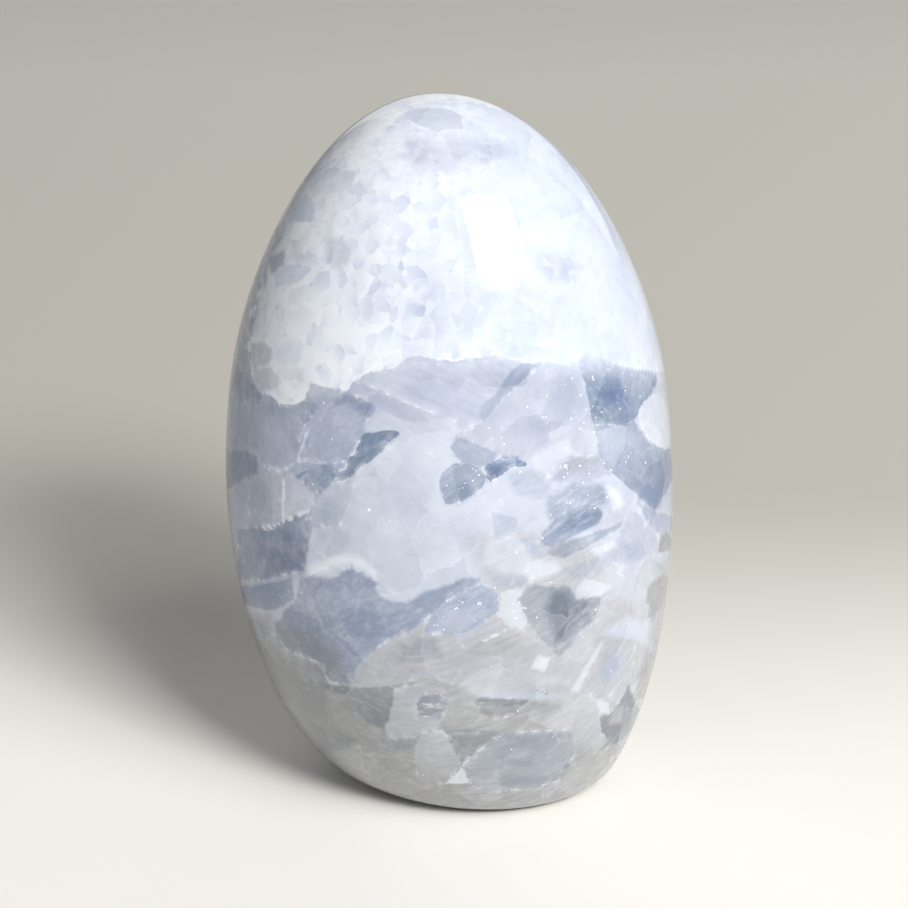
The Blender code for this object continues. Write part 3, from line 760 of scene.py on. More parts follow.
LOWER: tuple[Plate, ...] = (
    Plate(Tint.INDIGO, ((-36, -22), (-33.5, -22), (-27.1, -20.7), (-26.5, -24.2), (-29.2, -25.8),
          (-31.1, -26.1), (-36, -24.7)), into=Tint.SLATE, along_deg=-60.0, frost=0.3, melt=0.3),
    Plate(Tint.PEARL, ((-17.7, -38.5), (-16, -35.5), (-14.7, -34.2), (-12, -31.9), (-10.1, -30.5),
          (-7.2, -29.7), (-5, -28), (0, -29.8), (2, -33), (0, -38.2), (-1.8, -37.9), (-3.7, -36.8),
          (-6.1, -37.5), (-10.1, -38.3), (-13.1, -38.9)), frost=0.4, melt=0.4, streaks=1.0),
    Plate(Tint.PEWTER, ((-9, -31.5), (-3, -30.5), (-2, -34), (-9, -34.5)), soft=2.0, strength=0.7),
    Plate(Tint.SLATE, ((-25.7, -20.7), (-23.8, -20.4), (-20.1, -20.7), (-17.1, -18.8), (-15, -20.2),
          (-12.8, -21.5), (-12.5, -23.7), (-10.4, -24.7), (-7.7, -24.7), (-5, -23.1), (-0.8, -21.8),
          (1.4, -20.7), (3.3, -20.6), (4.6, -21.2), (2.7, -22.2), (0, -23.8), (-2.8, -26.1), (-5.3, -28),
          (-7.2, -29.6), (-10.1, -30.4), (-12, -31.7), (-14.7, -34.2), (-16.3, -35.8), (-17.1, -37.9),
          (-17.7, -38.5), (-21.2, -37.9), (-21.7, -35.2), (-24.9, -33.9), (-27.9, -32.5), (-30, -29.8),
          (-29.8, -28.2), (-27.9, -25.8), (-26.3, -23.9)), frost=0.7, cleavage_deg=38.0, streaks=0.8,
          melt=0.45),
    Plate(Tint.MIST, ((-24, -23), (-14, -22.5), (-13, -25), (-20, -27), (-25, -26)), soft=2.0, strength=0.7,
          cleavage_deg=38.0, streaks=0.8),
    Plate(Tint.STORM, ((-18, -25.5), (-10, -25.5), (-8, -28.5), (-14, -31), (-21, -31), (-24, -29)),
          soft=4.0, strength=0.45, cleavage_deg=38.0, streaks=0.9),
    Plate(Tint.SHALE, ((-30, -28.5), (-24, -29.5), (-19, -33), (-17.2, -38), (-21.4, -37.8), (-24.9, -34),
          (-29, -32)), soft=3.0, strength=0.8, cleavage_deg=38.0),
    Plate(Tint.SLATE, ((-10, -29), (-6, -27), (0, -22.6), (4, -21.4), (-4, -23.2), (-10, -26)), soft=1.6,
          strength=0.55, cleavage_deg=38.0, streaks=0.9),
    Plate(Tint.MIST, ((-4, -26.9), (0, -23.7), (2.7, -22.3), (4.6, -21.8), (6.8, -22.8), (7.4, -24.2),
          (7, -26.3), (6.2, -27.2), (4.1, -28.8), (1.4, -29.8), (-4, -30.1), (-5.3, -28.2)), frost=0.8,
          ragged=0.2, cleavage_deg=35.0, streaks=1.0, flecks=0.6),
    Plate(Tint.HAZE, ((-3.6, -29.6), (-1, -26), (3, -27), (1.4, -29.6)), soft=2.0, strength=0.7,
          cleavage_deg=35.0),
    Plate(Tint.SLATE, ((5, -23.2), (7, -23.4), (7.2, -25.8), (5, -26)), soft=1.4, strength=0.7),
    Plate(Tint.PEARL, ((4, -31), (9, -30), (12, -33), (20, -36), (20, -40.4), (4, -39.8), (1, -37)),
          soft=2.0, strength=0.8),
    Plate(Tint.PEARL, ((4.6, -30.9), (8.4, -29.4), (13, -30.4), (16, -33.2), (13.6, -34), (12.6, -35.6),
          (8, -34), (2, -33.2)), into=Tint.ASH, along_deg=180.0, melt=0.4, frost=0.1, cleavage_deg=25.0,
          streaks=1.0),
    Plate(Tint.SNOW, ((4.4, -31), (8.6, -29.2), (8.9, -29.6), (5, -31.4)), melt=0.15, frost=0.0,
          strength=0.8),
    Plate(Tint.LAVENDER, ((6, -20.8), (12, -20.2), (12.4, -22), (8.4, -22.8)), soft=0.8, strength=0.4),
    Plate(Tint.CHALK, ((8, -23), (12, -22.2), (10.6, -24.4), (12.2, -27.4), (11.8, -29.6), (8.6, -28.4),
          (7.4, -26.8)), melt=0.35, frost=0.3, ragged=0.3, strength=0.7, flecks=1.0),
    Plate(Tint.SNOW, ((12.4, -17.6), (17, -17.9), (18, -19.6), (12.6, -21.4), (11.6, -19.6)), soft=1.0,
          strength=0.6),
    Plate(Tint.SLATE, ((17.4, -19.6), (24, -17.4), (25.4, -18.6), (20.4, -21)), soft=1.4, strength=0.4,
          cleavage_deg=25.0),
    Plate(Tint.SNOW, ((22.8, -15.8), (26.8, -14.4), (27.2, -15.6), (23.6, -17)), soft=0.8, strength=0.6),
    Plate(Tint.SNOW, ((20.4, -24.4), (24.4, -23.6), (26, -22), (22, -20.6), (20.4, -22)), melt=0.3,
          frost=0.2, strength=0.55),
    Plate(Tint.LAVENDER, ((26.4, -19.6), (31, -18), (33.6, -17.8), (31, -19.6), (28, -20.2)), melt=0.3,
          frost=0.4, strength=0.4),
    Plate(Tint.ASH, ((29.2, -27.2), (31.4, -27), (31.9, -28.6), (30, -29.1)), soft=0.8, strength=0.5),
    Plate(Tint.SNOW, ((13, -36.9), (19, -37.4), (19.8, -38.6), (14, -38.1)), soft=0.9, strength=0.35),
    Plate(Tint.SHALE, ((13.2, -39.2), (15.7, -39.7), (15.5, -40.1), (13.8, -39.8)), frost=0.0, strength=0.8),
    Plate(Tint.SNOW, ((12.7, -35.6), (14, -33.6), (15.9, -34), (15.2, -36.3)), melt=0.4, frost=0.2,
          strength=0.8),
    Plate(Tint.PEWTER, ((10.7, -24.2), (12.2, -22), (13.2, -21.5), (15.9, -22), (19.2, -22), (20, -23.4),
          (20.2, -24.5), (24.3, -23.9), (24, -26.9), (22.9, -28.8), (20.2, -30.1), (19.7, -32.3),
          (17.5, -33.6), (16.5, -33.1), (15.4, -31.5), (13.2, -29.6), (12.2, -27.2)), frost=0.15, ragged=0.4,
          cleavage_deg=25.0, streaks=1.1, into=Tint.DOVE, along_deg=200.0, melt=0.35, flecks=0.7),
    Plate(Tint.LEAD, ((16.4, -22.6), (19, -23), (19.6, -27), (18.6, -31), (16.8, -31), (15.4, -26)),
          soft=2.0, strength=0.75, cleavage_deg=80.0, streaks=1.0),
    Plate(Tint.LEAD, ((19, -24.4), (23.4, -24.4), (22.6, -28), (19.4, -29)), soft=2.2, strength=0.5,
          streaks=1.2),
    Plate(Tint.PEARL, ((18, -33.6), (20, -33.8), (26.4, -26), (26, -24.6)), soft=1.0, strength=0.85),
    Plate(Tint.CHALK, ((24.6, -18.2), (33, -18.6), (34.6, -21), (32.4, -26), (26, -24)), soft=3.0,
          strength=0.6),
    Plate(Tint.MILK, ((24.4, -30), (29, -27), (33, -28), (32.6, -32), (30.4, -31)), soft=1.6, strength=0.9),
    Plate(Tint.CHALK, ((19.4, -39.6), (21.3, -36.3), (24.5, -31.2), (25.2, -31.4), (22, -37), (20.8, -39.8)),
          soft=0.7, strength=0.8),
    Plate(Tint.PEARL, ((21.6, -37.4), (24, -33.9), (27, -30.9), (29.9, -30.9), (30.5, -33.1), (29.9, -36.3),
          (27.8, -38.5), (25.6, -40.9), (22.9, -40.6)), frost=0.5, cleavage_deg=45.0, streaks=1.0, melt=0.2),
    Plate(Tint.MIST, ((24, -36.4), (26.6, -33), (28.6, -33.4), (27.6, -36.4), (25.4, -38)), soft=2.2,
          strength=0.8, cleavage_deg=45.0, streaks=0.9),
    Plate(Tint.ASH, ((32.3, -22.3), (34.8, -19.6), (37, -20.7), (36, -24.5), (33.7, -26.3), (32.6, -28),
          (32.1, -24.2)), melt=0.4, frost=0.5, ragged=0.4),
    Plate(Tint.ASH, ((34.2, -30.1), (36, -33.1), (34, -38.2), (31.5, -41), (29.7, -40.3), (30.7, -36.8),
          (32.9, -32.5)), melt=0.4, frost=0.5),
    Plate(Tint.SHALE, ((29.9, -36.6), (29.4, -39.5), (31, -43), (29.6, -46.3), (27.5, -47.9), (24.5, -49.5),
          (25.6, -47.6), (24.5, -46), (24.3, -43.8), (26.4, -43), (28.3, -40.1), (29.1, -38.2)), frost=0.4,
          ragged=0.3, streaks=0.8, melt=0.2),
    Plate(Tint.ASH, ((26.2, -42), (28.2, -42), (28, -44.8), (26, -45)), soft=1.0, strength=0.8),
    Plate(Tint.CHALK, ((23.7, -40.9), (25.6, -41.4), (25.9, -43), (24.3, -43.3)), melt=0.4, strength=0.9),
)

FOOT: tuple[Plate, ...] = (
    Plate(Tint.SHALE, ((-23.3, -37.9), (-20.1, -38.6), (-16.8, -38.7), (-18.2, -40.3), (-20.6, -39.5)),
          melt=0.25, frost=0.3),
    Plate(Tint.FLINT, ((-16.6, -39), (-10.1, -38.7), (-10.1, -42.2), (-11.5, -45.7), (-14.2, -44.9),
          (-15.8, -43.3), (-19.3, -41.7)), melt=0.25, frost=0.4, into=Tint.SHALE, along_deg=-45.0),
    Plate(Tint.PEARL, ((-9.8, -39), (-6, -38.2), (-1.5, -38.8), (-1, -42.2), (-2.8, -45.7), (-6.6, -47.1),
          (-10.1, -47.6), (-11.5, -46.3), (-10.4, -42.8)), frost=0.5, ragged=0.35, melt=0.3, streaks=0.9),
    Plate(Tint.PEWTER, ((-6.3, -41.7), (-5.3, -40.1), (-2.6, -39.8), (-1, -40.9), (-1, -42.2), (-2.6, -44.1),
          (-6.1, -43.8)), melt=0.4, frost=0.5, cleavage_deg=5.0, streaks=1.6, strength=0.85),
    Plate(Tint.SHALE, ((3.3, -41.2), (4.3, -40.6), (12.2, -41), (12.4, -41.4), (11.1, -42.2), (9.5, -43.8),
          (6, -44.1), (4.1, -42.8)), into=Tint.FLINT, along_deg=-90.0, frost=0.5, streaks=1.0,
          cleavage_deg=0.0, melt=0.3),
    Plate(Tint.FLINT, ((13.2, -41.7), (17.5, -41.4), (18.1, -42.8), (14.8, -43.3)), soft=0.8, strength=0.8),
    Plate(Tint.SHALE, ((-11.7, -47.9), (-7, -48.2), (-7.2, -49.4), (-11.3, -49.8)), soft=1.4, strength=0.6),
    Plate(Tint.SMOKE, ((-24, -44.5), (-21.4, -45.5), (-16.3, -47.7), (-17.7, -49.3), (-22, -50)), soft=1.6,
          strength=0.6),
    Plate(Tint.PEARL, ((-6.6, -48.7), (-5, -46.3), (-1.8, -46.3), (0, -49.5), (1.1, -51.9), (-1.3, -54.9),
          (-6, -55.5)), into=Tint.ASH, along_deg=-90.0, frost=0.6, melt=0.3, streaks=0.9),
    Plate(Tint.DOVE, ((7.8, -46.5), (19.4, -46), (20.2, -49.8), (19.4, -51.4), (18.1, -53.3), (17.3, -54.6),
          (12.2, -55.7), (5.4, -56.5), (2.7, -54.9), (1.4, -51.9)), frost=0.7, ragged=0.2, cleavage_deg=10.0,
          streaks=0.6, melt=0.35),
    Plate(Tint.PEWTER, ((10.5, -47), (14.8, -47.2), (14.4, -49.2), (10.8, -49)), soft=1.4, strength=0.7),
    Plate(Tint.PEWTER, ((8.9, -50.8), (13.2, -50.9), (13, -51.9), (9.2, -51.8)), soft=1.0, strength=0.6),
    Plate(Tint.PEWTER, ((7.3, -53.8), (17.5, -53.6), (17, -55.2), (7.6, -55.4)), soft=1.2, strength=0.7),
    Plate(Tint.SHALE, ((-1.7, -46.1), (1.9, -45.9), (6.8, -46.1), (7.8, -46.3), (5.2, -48.4), (2.7, -50.6),
          (1.3, -51.8), (0, -49.2), (-1, -47.3)), into=Tint.FLINT, along_deg=60.0, frost=0.9, melt=0.2),
    Plate(Tint.SNOW, ((1.4, -52.2), (2.7, -54.9), (-1.6, -55)), frost=0.2, strength=0.85),
    Plate(Tint.SHALE, ((18.1, -51.7), (19.7, -51.4), (18.6, -52.7)), melt=0.25, strength=0.8),
    Plate(Tint.ASH, ((20.2, -51.1), (24.5, -49.5), (27.8, -47.9), (24, -55.2), (19.4, -57), (17.5, -55.4),
          (18.3, -53.3)), frost=0.4, melt=0.4),
)

DISPLAY_PLATES = (*GROUNDS, *UPPER_MIDDLE, *LEFT_MIDDLE, *CROWN, *CENTRE, *LOWER, *FOOT)


@dataclass
class BackGrains:
    """The crystals of the back: grains that meet face to face, in the same belts as in front.

    They lie over the display side's plates, which therefore reach a little way round the sides. Lengths are
    in millimetres. The belts' borders wave by a rise and a length across and along the stone.
    """

    seed: int = 7
    tries: int = 6000
    spacing: float = 11.5
    spacing_spread: tuple[float, float] = (0.5, 1.4)
    neighbours: int = 28
    reach: tuple[float, float, float] = (40.0, 36.0, 124.0)
    waist: tuple[float, float, float] = (0.0, 0.0, 53.0)
    half_sizes: tuple[float, float, float] = (37.8, 33.5, 67.0)
    rings: tuple[float, float] = (0.5, 1.25)
    most_facing: float = -0.2
    flat_way: tuple[float, float, float] = (0.55, 0.25, 0.8)
    flatness: float = 2.4
    unevenness: float = 90.0
    overlap: float = 3.0
    melt: float = 0.12
    sugar_from: float = 70.0
    smoke_to: float = 24.0
    belt_waves: tuple[tuple[float, float], ...] = ((4.0, 9.0), (3.0, 7.0))
    crisp_share: float = 0.35
    crown_soft: float = 3.5
    crown_tints: tuple[Tint, ...] = (Tint.RIME, Tint.FROST, Tint.SNOW, Tint.FROST, Tint.CHALK, Tint.MILK)
    middle_tints: tuple[Tint, ...] = (
        Tint.SLATE, Tint.MILK, Tint.LAVENDER, Tint.HAZE, Tint.MILK, Tint.MIST, Tint.STORM, Tint.CHALK,
        Tint.HAZE, Tint.COBALT, Tint.MILK, Tint.LAVENDER)
    foot_tints: tuple[Tint, ...] = (Tint.ASH, Tint.FLINT, Tint.PEARL, Tint.PEWTER, Tint.ASH, Tint.DOVE)

    def grains(self, view: Viewpoint) -> list[Grain]:
        """Scatters the grains' seeds and gives each its faces, tint and streaks.

        The grains are flat along one direction and uneven in size. A grain runs a little way under those
        painted after it, so that every border lies between two grains.

        Args:
            view: The place that the display side faces.

        Returns:
            The grains, one for each seed near the part of the surface that faces away.
        """
        random = np.random.default_rng(self.seed)
        seeds = self.seeds(random)
        is_back = self.facing(seeds, view) < self.most_facing
        flat_way = np.array(self.flat_way) / np.linalg.norm(self.flat_way)
        metric = np.eye(3) + self.flatness * np.outer(flat_way, flat_way)
        growth = random.uniform(0.0, self.unevenness, len(seeds))
        result = []
        for index in np.nonzero(is_back)[0]:
            apart = seeds - seeds[index]
            across = apart @ metric
            width = (apart * across).sum(axis=1) + growth[index] - growth
            length = np.linalg.norm(across, axis=1)
            near = np.argsort(np.linalg.norm(apart, axis=1))[1:self.neighbours + 1]
            under = np.where(is_back & (np.arange(len(seeds)) > index), self.overlap, 0.0)
            reach = width[near] / length[near] / 2.0 + under[near]
            faces = np.column_stack([across[near] / length[near, None], reach])
            result.append(self.grain(random, seeds[index], tuple(map(tuple, faces))))
        return result

    def facing(self, seeds: np.ndarray, view: Viewpoint) -> np.ndarray:
        """How squarely the surface at each seed faces the viewer, and negative where it faces away."""
        outward = (seeds - np.array(self.waist)) / np.array(self.half_sizes) ** 2
        rays = seeds - view.place() / MM
        lengths = np.linalg.norm(outward, axis=1) * np.linalg.norm(rays, axis=1)
        return -(outward * rays).sum(axis=1) / lengths

    def seeds(self, random: np.random.Generator) -> np.ndarray:
        """Scatters seeds near the surface that keep their distance."""
        found = np.zeros((0, 3))
        inner, outer = self.rings
        for spot in random.uniform((-1, -1, 0), (1, 1, 1), (self.tries, 3)) * self.reach:
            ring = (((spot - np.array(self.waist)) / np.array(self.half_sizes)) ** 2).sum()
            gap = np.linalg.norm(found - spot, axis=1).min() if len(found) else np.inf
            if inner < ring < outer and gap > self.spacing * random.uniform(*self.spacing_spread):
                found = np.vstack([found, spot])
        return found

    def grain(self, random: np.random.Generator, middle: np.ndarray, faces: tuple) -> Grain:
        """Gives one grain its looks, by its height.

        Args:
            random: The source of chance.
            middle: The grain's seed, in millimetres.
            faces: Its faces, each a unit normal and a distance from the seed.

        Returns:
            The grain.
        """
        (rise_x, length_x), (rise_y, length_y) = self.belt_waves
        height = middle[2] + rise_x * math.sin(middle[0] / length_x) + rise_y * math.cos(middle[1] / length_y)
        way = random.normal(size=3)
        grown = partial(Grain, middle=tuple(middle), faces=faces, melt=self.melt,
                        streak_way=tuple(way / np.linalg.norm(way)))
        pick = random.random()
        if height > self.sugar_from:
            tint = self.crown_tints[int(pick * len(self.crown_tints))]
            soft = self.crown_soft * (pick * 10.0 % 1.0 > self.crisp_share)
            return grown(tint, frost=0.7, ragged=0.6, sugar=random.uniform(0.3, 1.0), soft=soft, streaks=0.3)
        if height > self.smoke_to:
            tint = self.middle_tints[int(pick * len(self.middle_tints))]
            into = self.middle_tints[int(random.random() * len(self.middle_tints))]
            # How thick the painted glints swarm in this grain.
            flecks = 0.5 * (pick * 100.0 % 1.0) ** 2
            return grown(tint, into=into, frost=0.8, ragged=0.12, streaks=0.8, flecks=flecks)
        tint = self.foot_tints[int(pick * len(self.foot_tints))]
        return grown(tint, frost=0.5, ragged=0.25, streaks=0.5)


class CrystalPainter:
    """Paints layers of crystals on a mesh, as attributes that the calcite finish reads.

    Every face keeps the tints on both sides of the nearest crisp border and each corner's distance to it, so
    that the finish can draw the border much finer than the faces are.
    """

    BORDER_REACH_MM = 1.2
    LEAST_HIDING = 0.5
    LEAST_LEADING = 0.4
    FACE_CORNERS = 4

    def __init__(self, stone: bpy.types.Object, layers: list[Layer], view: Viewpoint) -> None:
        """Reads the mesh.

        Args:
            stone: The piece to paint.
            layers: The crystals, each painted over those before it.
            view: The place that the stone is looked at from.
        """
        self.mesh = stone.data
        self.layers = layers
        self.view = view
        points = np.empty(len(self.mesh.vertices) * 3, np.float32)
        self.mesh.vertices.foreach_get("co", points)
        site = Site.of(points.reshape(-1, 3).astype(float), view)
        corners = np.empty(len(self.mesh.loops), np.int32)
        self.mesh.loops.foreach_get("vertex_index", corners)
        self.corners = corners.reshape(-1, self.FACE_CORNERS)
        self.depths = np.stack([layer.distance(site) for layer in layers]).astype(np.float32)
        self.runs = [layer.run(site) for layer in layers]

    def cover(self, index: int) -> np.ndarray:
        """How far a layer hides what lies under it at each vertex."""
        full = np.float32(self.layers[index].strength)
        depth = self.depths[index]
        soft = self.layers[index].soft
        if soft > 0.0:
            ramp = np.clip(depth / soft + 0.5, 0.0, 1.0)
            return full * ramp * ramp * (3.0 - 2.0 * ramp)
        return full * (depth > 0.0)

    def composite(self, border: np.ndarray) -> tuple[np.ndarray, np.ndarray]:
        """Lays the layers over one another.

        Args:
            border: The crisp border of each face, or -1.

        Returns:
            Red, green, blue, sugar and flecks for each corner, inside and outside its face's border.
        """
        flat = self.corners.reshape(-1)
        border_of = np.repeat(border, self.FACE_CORNERS)
        inner = np.zeros((len(flat), 5), np.float32)
        outer = np.zeros((len(flat), 5), np.float32)
        for index, layer in enumerate(self.layers):
            cover, is_border = self.cover(index)[flat], border_of == index
            touched = np.nonzero((cover > 0.0) | is_border)[0]
            at, cover, is_border = flat[touched], cover[touched], is_border[touched]
            look = np.tile((*layer.tint.rgb(), layer.sugar, layer.flecks), (len(at), 1))
            if layer.into is not None:
                look[:, :3] += (layer.into.rgb() - layer.tint.rgb()) * self.runs[index][at][:, None]
            inside = np.where(is_border, np.float32(layer.strength), cover)[:, None]
            outside = np.where(is_border, np.float32(0.0), cover)[:, None]
            inner[touched] += (look - inner[touched]) * inside
            outer[touched] += (look - outer[touched]) * outside
        return inner, outer

    def top_layers(self) -> tuple[np.ndarray, np.ndarray]:
        """Finds what each face shows.

        Returns:
            The crisp border nearest each face that isn't covered, or -1, and the topmost layer there.
        """
        faces = len(self.corners)
        border = np.full(faces, -1)
        gap = np.full(faces, np.inf)
        top = np.zeros(faces, int)
        for index, layer in enumerate(self.layers):
            depth = self.depths[index][self.corners].mean(axis=1)
            hides = (depth > 0.0) & (layer.strength > self.LEAST_HIDING)
            top = np.where((depth > 0.0) & (layer.strength > self.LEAST_LEADING), index, top)
            if layer.soft > 0.0:
                covered = hides & (depth > layer.soft)
                border = np.where(covered, -1, border)
                gap = np.where(covered, np.inf, gap)
                continue
            apart = np.abs(depth)
            near = apart < self.BORDER_REACH_MM
            takes = near & (hides | (apart < gap))
            clears = hides & ~near
            border = np.where(takes, index, np.where(clears, -1, border))
            gap = np.where(takes, apart, np.where(clears, np.inf, gap))
        return border, top

    def paint(self) -> None:
        """Works out the attributes and stores them on the mesh."""
        border, top = self.top_layers()
        inner, outer = self.composite(border)
        edge = self.depths[np.maximum(border, 0)[:, None], self.corners]
        edge = np.where(border[:, None] >= 0, edge, FAR_MM)
        ways = np.array([layer.cleavage(self.view) for layer in self.layers])
        self.store("tint_in", "FLOAT_COLOR", "CORNER", "color", inner[:, :4])
        self.store("tint_out", "FLOAT_COLOR", "CORNER", "color", outer[:, :4])
        # Painted glints: how thick the white flecks swarm at each corner.
        self.store("flecks", "FLOAT", "CORNER", "value", (inner[:, 4] + outer[:, 4]) / 2.0)
        self.store("edge_mm", "FLOAT", "CORNER", "value", edge)
        for name in ("frost", "ragged", "melt"):
            values = np.array([getattr(layer, name) for layer in self.layers] + [0.0])
            self.store(name, "FLOAT", "FACE", "value", values[border])
        self.store("cleavage", "FLOAT_VECTOR", "FACE", "vector", ways[top])

    def store(self, name: str, kind: str, domain: str, field_name: str, values: np.ndarray) -> None:
        """Writes one attribute."""
        attribute = self.mesh.attributes.new(name, kind, domain)
        attribute.data.foreach_set(field_name, np.ascontiguousarray(values, np.float32).ravel())


@dataclass(frozen=True)
class Noise:
    """A noise: how many waves a millimetre holds, how many finer ones it has, and how strong these are."""

    per_mm: float
    detail: float
    rough: float


@dataclass(frozen=True)
class Patches:
    """Smooth patches, where a noise rises from one value to another."""

    noise: Noise
    low: float
    high: float
    most: float = 1.0


@dataclass(frozen=True)
class Shading:
    """How strongly a tone above 0 whitens a tint, how strongly one below 0 darkens it, and with what tint."""

    white_by: float
    dark_by: float
    dark: str


@dataclass(frozen=True)
class Facets:
    """Interlocked grains of one size: how far they differ in lightness by chance, and how far painted light
    runs across each, as over a facet tilted to the light.
    """

    size_mm: float
    by_chance: float
    painted_facet_light: float


@dataclass(frozen=True)
class Flecks:
    """Painted glints: white flecks of one size, and the share of their places that they take in the densest
    swarm.
    """

    size_mm: float
    share: float


@dataclass(frozen=True)
class PolishedCalcite:
    """Calcite, sawn and polished to a gloss: frosted borders and cleavage streaks under a glassy skin."""

    name: str = "polished_calcite"
    roughness: float = 0.05
    ior: float = 1.6
    translucency: float = 0.4
    light_reach: float = 6.0 * MM
    veil_white: str = "#F4F6FB"
    # Painted glints: the white of the flecks.
    glint_white: str = "#FFFFFF"
    least_melt_mm: float = 0.03
    wander: Noise = Noise(1.1, 4.0, 0.65)
    chip_mm: float = 1.3
    wander_by: float = 1.1
    drawn_out: float = 0.93
    streaks: Noise = Noise(1.2, 4.0, 0.6)
    streak_depth: float = 0.42
    clouds: Noise = Noise(1.0 / 9.0, 5.0, 0.6)
    cloud_depth: float = 0.36
    mottle: Noise = Noise(0.5, 5.0, 0.65)
    mottle_depth: float = 0.22
    streak_shading: Shading = Shading(1.6, 1.7, "#949CAE")
    hatching: Patches = Patches(Noise(2.6, 2.0, 0.5), 0.6, 0.72)
    hatched_from: float = 1.05
    ghosts: Facets = Facets(8.0, 0.5, 1.2)
    ghost_shading: Shading = Shading(1.0, 1.3, "#949CAE")
    ghost_strength: float = 0.17
    ghost_bend: Noise = Noise(0.16, 3.0, 0.6)
    ghost_bend_mm: float = 3.0
    ghost_lines: Patches = Patches(Noise(0.16, 3.0, 0.55), 0.5, 0.66)
    ghost_line: tuple[float, float] = (0.02, 0.16)
    grains: Facets = Facets(2.5, 0.42, 1.3)
    grain_shading: Shading = Shading(1.1, 1.0, "#BCC6DC")
    grain_stretch: tuple[float, float, float] = (1.0, 1.0, 0.8)
    grain_bend: Noise = Noise(0.5, 5.0, 0.6)
    grain_bend_mm: float = 1.3
    grain_rims: Patches = Patches(Noise(0.3, 2.0, 0.55), 0.42, 0.62)
    grain_rim: tuple[float, float] = (0.06, 0.4)
    crumb_mm: float = 0.9
    crumb_heaps: Patches = Patches(Noise(0.12, 3.0, 0.55), 0.46, 0.62, 0.55)
    crumbs_above: float = 0.6
    veil_breaks: Patches = Patches(Noise(0.5, 3.0, 0.55), 0.48, 0.66)
    veils: tuple[tuple[float, float], ...] = ((0.9, 0.3), (0.12, 0.7))
    # Painted glints: where they swarm, their sizes, how many stray, and how strong they are.
    swarms: Patches = Patches(Noise(0.35, 3.0, 0.6), 0.4, 0.62)
    flecks: tuple[Flecks, ...] = (Flecks(0.5, 0.45), Flecks(0.9, 0.12))
    stray_flecks: float = 0.012
    swarm_density: float = 0.85
    fleck_bend: float = 1.6
    fleck_reach: float = 0.34
    fleck_strength: float = 0.85

    def build(self) -> bpy.types.Material:
        """Builds the material.

        Returns:
            The material, which reads the painter's attributes and Object coordinates.
        """
        material = bpy.data.materials.new(self.name)
        material.use_nodes = True
        shader = material.node_tree.nodes["Principled BSDF"]
        body = CalciteNodes(self, material.node_tree).body()
        material.node_tree.links.new(body, shader.inputs["Base Color"])
        shader.inputs["Roughness"].default_value = self.roughness
        shader.inputs["IOR"].default_value = self.ior
        shader.inputs["Subsurface Weight"].default_value = self.translucency
        shader.inputs["Subsurface Radius"].default_value = (1.0, 1.0, 1.0)
        shader.inputs["Subsurface Scale"].default_value = self.light_reach
        return material


